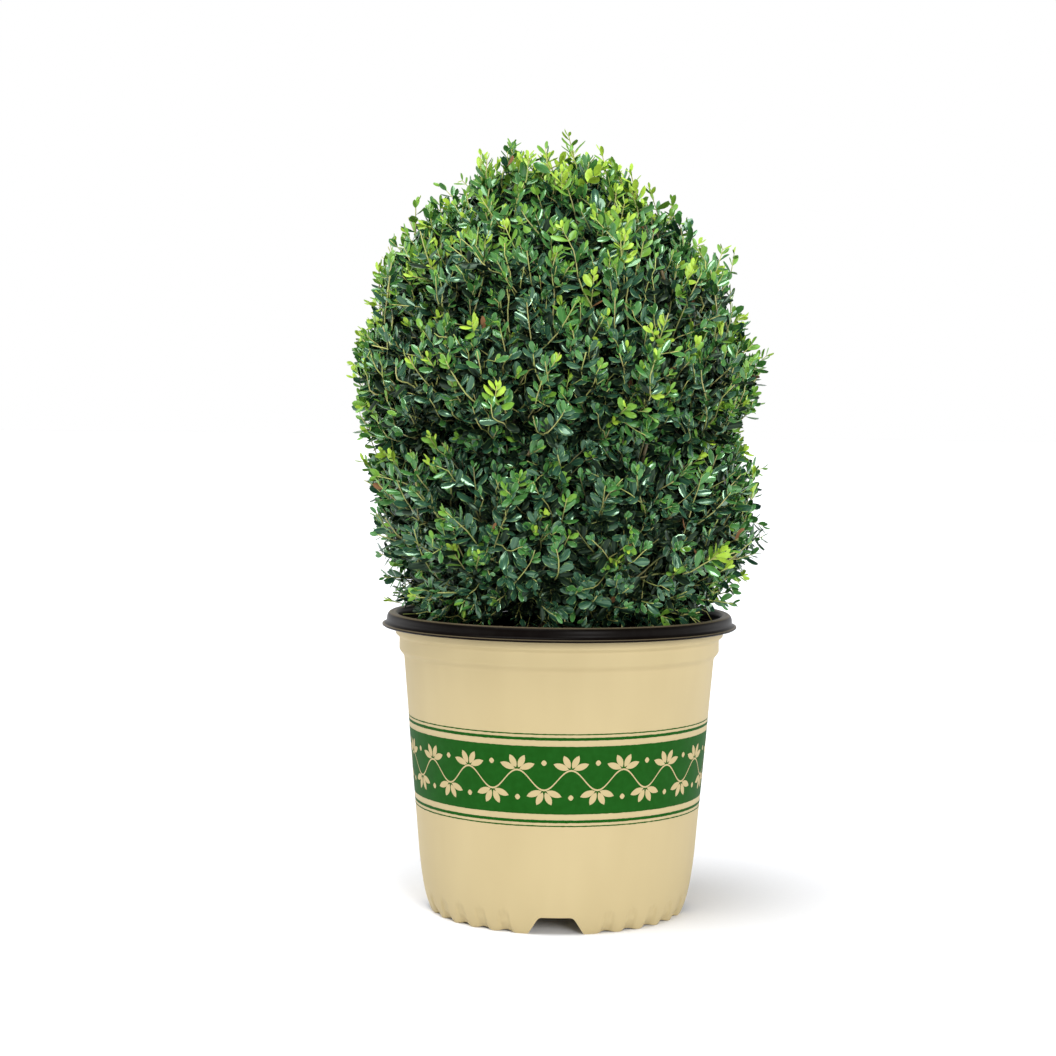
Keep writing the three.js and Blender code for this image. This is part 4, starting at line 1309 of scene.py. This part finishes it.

# Roughness, specular level and strength of the pale margin, partly a painted highlight
GLOSSY_LEAF = (0.17, 0.9, 1.0)
LEAF_FINISHES = {
    "painted_shade": (0.28, 0.35, 0.45),
    "fresh": (0.3, 0.5, 0.6),
    "young": (0.35, 0.4, 0.3),
    "dead": (0.75, 0.3, 0),
}

# The leaf's outline as height and half width, both as parts, and how its blade bends
LEAF_SECTIONS = ((0.12, 0.16), (0.36, 0.42), (0.62, 0.5), (0.88, 0.34))
LEAF_CURL = 0.2
LEAF_CUP = 0.2

# Pairs of leaves from the tip back: their gaps, how they turn and spread, and their sizes
PAIR_GAPS = (0.0, 0.45, 1.1, 1.9)
PAIRS_AHEAD = 1.1
GAP_LEAST = 0.85
GAP_SPREAD = 0.3
PAIR_TURN = 0.5
SHOOT_TURN_SPREAD = 1.2
PAIR_TURN_SPREAD = 0.7
SPREAD_AT_TIP = 22
SPREAD_PER_PAIR = 10
WIDEST_SPREAD = 58
SPLAY = 0.4
BARE_ROOT = 0.12
LEAF_LIFT = 0.1
FACE_TO_TIP = 0.45
FACE_TO_LIGHT = 0.8
FACE_STRAY = 1.2
SIZE_AT_PAIRS = (0, 1, 3, 4, 9)
SIZES = (0.95, 1.0, 0.95)
SECOND_PAIR_LARGER = 0.15
SIZE_LEAST = 0.76
SIZE_SPREAD = 0.44
SLIMMEST = 0.85
SLIM_SPREAD = 0.3

# How far the first pair is from the tip, how many pairs there are, and how large the first is
SHOOT_LEAFING = (0.8, 8, 0.5)
LEADER_LEAFING = (0.8, 11, 0.5)
BRANCHLET_LEAFING = (3.0, 5, 0.9)

# Where the leaves turn, which are missing, and the leaders that shears have cut back
LIGHT_RISE = 0.5
PAIR_NUMBERS = 31
MISSING_PART = 0.08
CLIPPED_PART = 0.2
CLIPPED_BACK = 8.0

# How a leaf's kind is dealt: from sprays, the height (darker lower down as painted shade), the sides (paler
# as painted light), its place on the shoot and its depth (darker inside as painted shade)
DEAD_PART = 0.0015
KINDS_FROM = (-0.28, 0.12, 0.5, 0.78)
MEAN_FRESHNESS = 0.24
PATCH_SIZE = 48
PATCH_FRESHNESS = 0.5
HEIGHT_FRESHNESS_AND_SHADE = 0.3 / 200
SIDE_PAINTED_LIGHT = 0.34
TOP_FRESHNESS = 0.15
TOP_FROM = 530
TOP_SPAN = 50
LONE_FRESHNESS = 0.75
AGE_PER_PAIR = 0.13
LEAF_FRESHNESS_SPREAD = 0.24
# Painted shade: leaves deeper inside the outline are dealt darker kinds, down to the near-black one
OLDEST_OUTSIDE = -0.16
LEAF_SHADE_FROM = 11.0
LEAF_SHADE_SPAN = 20.0

# Bright young sprays on the side that faces the viewer: across, height and reach
BRIGHT_DEPTH = 40
BRIGHTEST = 1.15
DULL_PART = 0.45
BRIGHT_SPRAYS = (
    (0, 590, 42), (-160, 421, 16), (-36, 519, 14), (4, 508, 14), (22, 494, 12), (40, 389, 16), (-14, 324, 18),
    (44, 284, 16), (-118, 500, 14), (140, 470, 14), (72, 560, 16), (-62, 556, 12),
)


def leaf_template():
    """One leaf in its own outline: stalk, four sections across and a round tip.

    Returns across (half widths), along (lengths) and the triangles of its sixteen faces.
    """
    across = [0.0]
    along = [0.0]
    for height, half in LEAF_SECTIONS:
        across += [-half, 0.0, half]
        along += [height] * 3
    across.append(0.0)
    along.append(1.0)
    faces = [(0, 2, 1), (0, 3, 2)]
    for i in range(len(LEAF_SECTIONS) - 1):
        low = 1 + 3 * i
        for side in (0, 1):
            a, b = low + side, low + side + 1
            faces += [(a, b, b + 3), (a, b + 3, a + 3)]
    last = 1 + 3 * (len(LEAF_SECTIONS) - 1)
    tip = len(across) - 1
    faces += [(last, last + 1, tip), (last + 1, last + 2, tip)]
    return np.array(across), np.array(along), np.array(faces)


def leaf_pairs(limbs, spacing, first_gap, pairs, tip_size, clipped=0):
    """Where leaves grow on limbs: opposite pairs from the tip back, turned to spread flat to the light."""
    pair = np.arange(pairs)
    close = np.take(PAIR_GAPS, np.minimum(pair, len(PAIR_GAPS) - 1))
    gaps = np.where(pair < len(PAIR_GAPS), close, pair - PAIRS_AHEAD)
    stretch = GAP_LEAST + GAP_SPREAD * seeded(limbs.index, "start")[:, None]
    back = first_gap + clipped + spacing * gaps * stretch
    t = 1 - back / limbs.length()[:, None]
    present = t > BARE_ROOT
    t = np.clip(t, 0, 1)
    place, heading = limbs.place(t), limbs.heading(t)
    light = unit(outwards(place) + LIGHT_RISE * UP)
    side = unit(np.cross(heading, light) + 1e-3)
    number = limbs.index[:, None] * PAIR_NUMBERS + pair
    turn = np.where(pair % 2, PAIR_TURN, -PAIR_TURN)
    turn = turn + SHOOT_TURN_SPREAD * (seeded(limbs.index, "roll")[:, None] - 0.5)
    turn = turn + PAIR_TURN_SPREAD * (seeded(number, "pair_turn") - 0.5)
    spread = np.radians(np.minimum(SPREAD_AT_TIP + SPREAD_PER_PAIR * pair, WIDEST_SPREAD))
    size = np.interp(pair, SIZE_AT_PAIRS, (tip_size, tip_size + SECOND_PAIR_LARGER, *SIZES))
    sets = []
    for flip in (0, 1):
        draw = number * 2 + flip + 7
        angle = (turn + math.pi * flip)[..., None]
        out = side * np.cos(angle) + np.cross(heading, side) * np.sin(angle)
        tilt = (spread + SPLAY * (seeded(draw, "splay") - 0.5))[..., None]
        kept = present & (seeded(draw, "tint") > MISSING_PART)
        upper = FACE_TO_TIP * heading + FACE_TO_LIGHT * light
        values = {
            "root": place,
            "along": unit(heading * np.cos(tilt) + out * np.sin(tilt) + LEAF_LIFT * UP),
            "upper": unit(upper + FACE_STRAY * stray_of(draw, "tilt", "bend", "turn")),
            "size": size * (SIZE_LEAST + SIZE_SPREAD * seeded(draw, "leaf_size")),
            "draw": draw,
            "pair": np.broadcast_to(pair, kept.shape),
            "limb": np.broadcast_to(np.arange(len(limbs.tip))[:, None], kept.shape),
        }
        sets.append({key: value[kept] for key, value in values.items()})
    return {key: np.concatenate([one[key] for one in sets]) for key in sets[0]}


def freshness(limbs):
    """How young each limb's leaves are, from 0 to 1: in sprays, with more near the top, darker lower down as
    painted shade and paler towards the left and right sides as painted light.
    """
    x, y, z = limbs.tip.T
    fresh = np.array([noise.noise(Vector(tip) / PATCH_SIZE) for tip in limbs.tip]) * PATCH_FRESHNESS
    # Painted shade: leaves are dealt darker kinds lower in the crown and fresher ones higher
    fresh += MEAN_FRESHNESS + HEIGHT_FRESHNESS_AND_SHADE * (z - CROWN_WIDEST_HEIGHT)
    # Painted light: paler, fresher leaves towards the left and right sides of the crown
    fresh += SIDE_PAINTED_LIGHT * (np.hypot(x, 0.5 * y) / CROWN_RADIUS) ** 2
    fresh += TOP_FRESHNESS * np.clip((z - TOP_FROM) / TOP_SPAN, 0, 1)
    fresh += LONE_FRESHNESS * seeded(limbs.index, "sprig") ** 6
    in_front = (y < BRIGHT_DEPTH) & (seeded(limbs.index, "tint") > DULL_PART)
    for spray_x, spray_z, reach in BRIGHT_SPRAYS:
        gap = np.hypot(x - spray_x, z - spray_z)
        fresh = np.maximum(fresh, BRIGHTEST * np.exp(-((gap / reach) ** 2)) * in_front)
    return fresh


def dealt_kinds(leaves, limbs):
    """The kind of each leaf, dealt out by spray and by how far it is from its shoot's tip, and darker as
    painted shade the deeper it lies inside the crown.
    """
    young = freshness(limbs)[leaves["limb"]] - AGE_PER_PAIR * leaves["pair"]
    young = young + LEAF_FRESHNESS_SPREAD * (seeded(leaves["draw"], "tint") - 0.5)
    inside = CROWN_RADIUS * (1 - share(leaves["root"])) + limbs.relief[leaves["limb"]]
    # Painted shade: the deeper a leaf lies inside the crown, the darker the kind it is dealt
    young = np.maximum(young, OLDEST_OUTSIDE) - np.clip((inside - LEAF_SHADE_FROM) / LEAF_SHADE_SPAN, 0, 1)
    dead = seeded(leaves["draw"], "dead") < DEAD_PART
    return np.where(dead, LEAF_KINDS.index("dead"), np.digitize(young, KINDS_FROM))


def leaf_arrays(leaves, chosen, length, width):
    """The joined mesh of the chosen leaves: points, triangles and each point's share out from the midrib."""
    across, along, faces = leaf_template()
    keys = ("root", "along", "upper", "size", "draw")
    root, axis, upper, size, draw = (leaves[key][chosen] for key in keys)
    side = unit(np.cross(axis, upper))
    face = np.cross(side, axis)
    curl = (LEAF_CURL * (2 * seeded(draw, "curl") - 0.5))[:, None, None]
    span = (length * size)[:, None, None]
    broad = (width * size)[:, None, None] * (SLIMMEST + SLIM_SPREAD * seeded(draw, "cup"))[:, None, None]
    out = 2 * np.abs(across)
    points = root[:, None] + axis[:, None] * along[:, None] * span + side[:, None] * across[:, None] * broad
    points = points - face[:, None] * (curl * along[:, None] ** 2 * span + LEAF_CUP * out[:, None] * broad)
    first = np.arange(len(root)) * len(across)
    triangles = (faces[None] + first[:, None, None]).reshape(-1, 3)
    return points.reshape(-1, 3), triangles, np.tile(out, len(root))


def kept_in_reach(leaves, length):
    """The leaves that stay inside the crown's reach and clear of the pot and the mix."""
    reach = length * leaves["size"][:, None] * leaves["along"]
    ends = [leaves["root"] + part * reach for part in (0, 0.6, 1)]
    keep = (share(ends[-1]) < FURTHEST_REACH) & np.all([clear_of_pot(end) for end in ends], axis=0)
    return {key: value[keep] for key, value in leaves.items()}


class BOXWOOD_OT_leaves(bpy.types.Operator):
    """Leafs the shoots, sorted into old, grown, fresh, young and dead leaves, and the leaves inside the crown
    in a near-black painted shade
    """

    bl_idname = "boxwood.leaves"
    bl_label = "Leaves"

    def execute(self, context):
        crown = context.scene.boxwood_crown
        length, width = crown.leaf_length / MM, crown.leaf_width / MM
        spacing = crown.pair_spacing / MM
        counts = (crown.branchlet_count, crown.leader_count, crown.shoot_count)
        branchlets, leaders, shoots = grown_crown(*counts)[2:]
        clipped = CLIPPED_BACK * (seeded(leaders.index, "dead") > 1 - CLIPPED_PART)[:, None]
        on_shoots = kept_in_reach(leaf_pairs(shoots, spacing, *SHOOT_LEAFING), length)
        on_leaders = kept_in_reach(leaf_pairs(leaders, spacing, *LEADER_LEAFING, clipped), length)
        inside = kept_in_reach(leaf_pairs(branchlets, spacing, *BRANCHLET_LEAFING), length)
        # The branchlets' leaves, deep in the crown, all take the near-black colour of painted shade
        painted_shade = np.full(len(inside["size"]), LEAF_KINDS.index("painted_shade"))
        kinds = np.concatenate([dealt_kinds(on_shoots, shoots), dealt_kinds(on_leaders, leaders), painted_shade])
        leaves = {key: np.concatenate([on_shoots[key], on_leaders[key], inside[key]]) for key in inside}
        colours = (crown.painted_shade, crown.dark, crown.middle, crown.fresh, crown.lime, crown.dead)
        for number, (kind, colour) in enumerate(zip(LEAF_KINDS, colours)):
            finish = LEAF_FINISHES.get(kind, GLOSSY_LEAF)
            material = box_leaf(f"box_leaf_{kind}", tuple(colour), tuple(crown.rib_and_rim), *finish)
            chosen = np.flatnonzero(kinds == number)
            chunks = math.ceil(len(chosen) / LEAVES_PER_PIECE)
            for i, part in enumerate(np.array_split(chosen, chunks)):
                name = f"leaves_{kind}_{i + 1}" if chunks > 1 else f"leaves_{kind}"
                points, triangles, margin = leaf_arrays(leaves, part, length, width)
                mesh = mesh_from_arrays(name, points, triangles, **{MARGIN_ATTRIBUTE: margin})
                add_piece(name, mesh, material, MASSES if kind == "painted_shade" else ())
        return {"FINISHED"}


# The camera, the lights and the floor

SENSOR_WIDTH = 36
FLOOR_RADIUS = 40.0

# Where the lights stand, seen from the plant
KEY_FROM = (-0.2, -0.2, 1.0)
FILL_FROM = (0.34, -1.0, 0.42)

# Where the white walls fade into the ceiling, and where the side panels start, as parts of a direction
WALL_TOPS = (0.2, 0.42)
PANEL_EDGES = (0.5, 0.85)


def soft_sun(name, source, strength, softness):
    """A wide light from one direction, as from a large softbox."""
    light = bpy.data.lights.new(name, "SUN")
    light.energy = strength
    light.angle = softness
    lamp = bpy.data.objects.new(name, light)
    lamp.rotation_euler = (-Vector(source)).to_track_quat("-Z", "Y").to_euler()
    bpy.context.scene.collection.objects.link(lamp)


def seamless_paper(colour):
    """Seamless studio paper: matt and even, with a faint fibre grain."""
    material, tree, shader = new_material("paper_seamless_white", 0.9, 1.45)
    grain = object_noise(tree, 4, 3.0)
    base = add_node(tree, "ShaderNodeValToRGB", {"Fac": grain}, ((0.3, darker(colour, 0.985)), (0.7, colour)))
    surface(tree, shader, base.outputs["Color"])
    return material


class BOXWOOD_OT_stage(bpy.types.Operator):
    """Sets the camera, the soft lights and the pale floor"""

    bl_idname = "boxwood.stage"
    bl_label = "Camera, lights and floor"

    def execute(self, context):
        stage = context.scene.boxwood_stage
        camera = bpy.data.cameras.new("photo_camera")
        camera.lens = stage.lens
        camera.sensor_width = SENSOR_WIDTH
        viewer = bpy.data.objects.new("photo_camera", camera)
        viewer.location = (0, -stage.distance, stage.camera_height)
        viewer.rotation_euler = (math.pi / 2, -stage.roll, 0)
        camera.shift_x, camera.shift_y = stage.shift
        context.scene.collection.objects.link(viewer)
        context.scene.camera = viewer

        floor = bmesh.new()
        bmesh.ops.create_circle(floor, cap_ends=True, segments=96, radius=FLOOR_RADIUS)
        mesh = mesh_of(floor, "floor")
        mesh.materials.append(seamless_paper(tuple(stage.paper)))
        ground = bpy.data.objects.new("floor", mesh)
        context.scene.collection.objects.link(ground)

        soft_sun("key_upper_left", KEY_FROM, stage.key_strength, stage.key_softness)
        soft_sun("fill_right", FILL_FROM, stage.fill_strength, stage.fill_softness)
        context.scene.world = self.sky(stage)
        context.scene.view_settings.view_transform = "Standard"
        return {"FINISHED"}

    def sky(self, stage):
        """White walls all round up to a low height, brighter at the sides, and a dim soft light above."""
        world = bpy.data.worlds.new("studio_walls")
        world.use_nodes = True
        tree = world.node_tree
        place = add_node(tree, "ShaderNodeTexCoord", {}).outputs["Generated"]
        parts = add_node(tree, "ShaderNodeSeparateXYZ", {"Vector": place}).outputs
        aside = add_node(tree, "ShaderNodeMath", {0: parts["X"]}, operation="ABSOLUTE").outputs["Value"]
        fades = []
        for value, span, strengths in (
            (parts["Z"], WALL_TOPS, (1.0, stage.ceiling)),
            (aside, PANEL_EDGES, (0.0, stage.side_panels)),
        ):
            limits = dict(zip(("From Min", "From Max", "To Min", "To Max"), span + strengths))
            inputs = {"Value": value, **limits}
            fade = add_node(tree, "ShaderNodeMapRange", inputs, interpolation_type="SMOOTHSTEP")
            fades.append(fade.outputs["Result"])
        inputs = {0: fades[0], 1: fades[1], 2: fades[0]}
        strength = add_node(tree, "ShaderNodeMath", inputs, operation="MULTIPLY_ADD").outputs["Value"]
        background = tree.nodes["Background"]
        background.inputs["Color"].default_value = linear("FFFFFF")
        tree.links.new(strength, background.inputs["Strength"])
        return world


# The panel

class BOXWOOD_PT_panel(bpy.types.Panel):
    """Lists the boxwood's steps in the sidebar"""

    bl_idname = "BOXWOOD_PT_panel"
    bl_label = "Potted boxwood"
    bl_space_type = "VIEW_3D"
    bl_region_type = "UI"
    bl_category = "Boxwood"

    def draw(self, context):
        for settings in (context.scene.boxwood_pot, context.scene.boxwood_crown, context.scene.boxwood_stage):
            box = self.layout.box()
            for name in type(settings).__annotations__:
                box.prop(settings, name)
        for operator in OPERATORS:
            self.layout.operator(operator.bl_idname)


OPERATORS = (
    BOXWOOD_OT_stage,
    BOXWOOD_OT_pot_wall,
    BOXWOOD_OT_pot_rim,
    BOXWOOD_OT_print,
    BOXWOOD_OT_potting_mix,
    BOXWOOD_OT_limbs,
    BOXWOOD_OT_twigs,
    BOXWOOD_OT_leaves,
)
SETTINGS = {"boxwood_pot": PotSettings, "boxwood_crown": CrownSettings, "boxwood_stage": StageSettings}


def register():
    """Makes the settings, the steps and the panel known to Blender."""
    for settings in SETTINGS.values():
        bpy.utils.register_class(settings)
    for name, settings in SETTINGS.items():
        setattr(bpy.types.Scene, name, bpy.props.PointerProperty(type=settings))
    for operator in OPERATORS:
        bpy.utils.register_class(operator)
    bpy.utils.register_class(BOXWOOD_PT_panel)


def unregister():
    """Takes them away again."""
    bpy.utils.unregister_class(BOXWOOD_PT_panel)
    for operator in reversed(OPERATORS):
        bpy.utils.unregister_class(operator)
    for name, settings in SETTINGS.items():
        delattr(bpy.types.Scene, name)
        bpy.utils.unregister_class(settings)


def main():
    """Runs every step in order."""
    register()
    for operator in OPERATORS:
        group, name = operator.bl_idname.split(".")
        getattr(getattr(bpy.ops, group), name)()


if __name__ == "__main__":
    main()
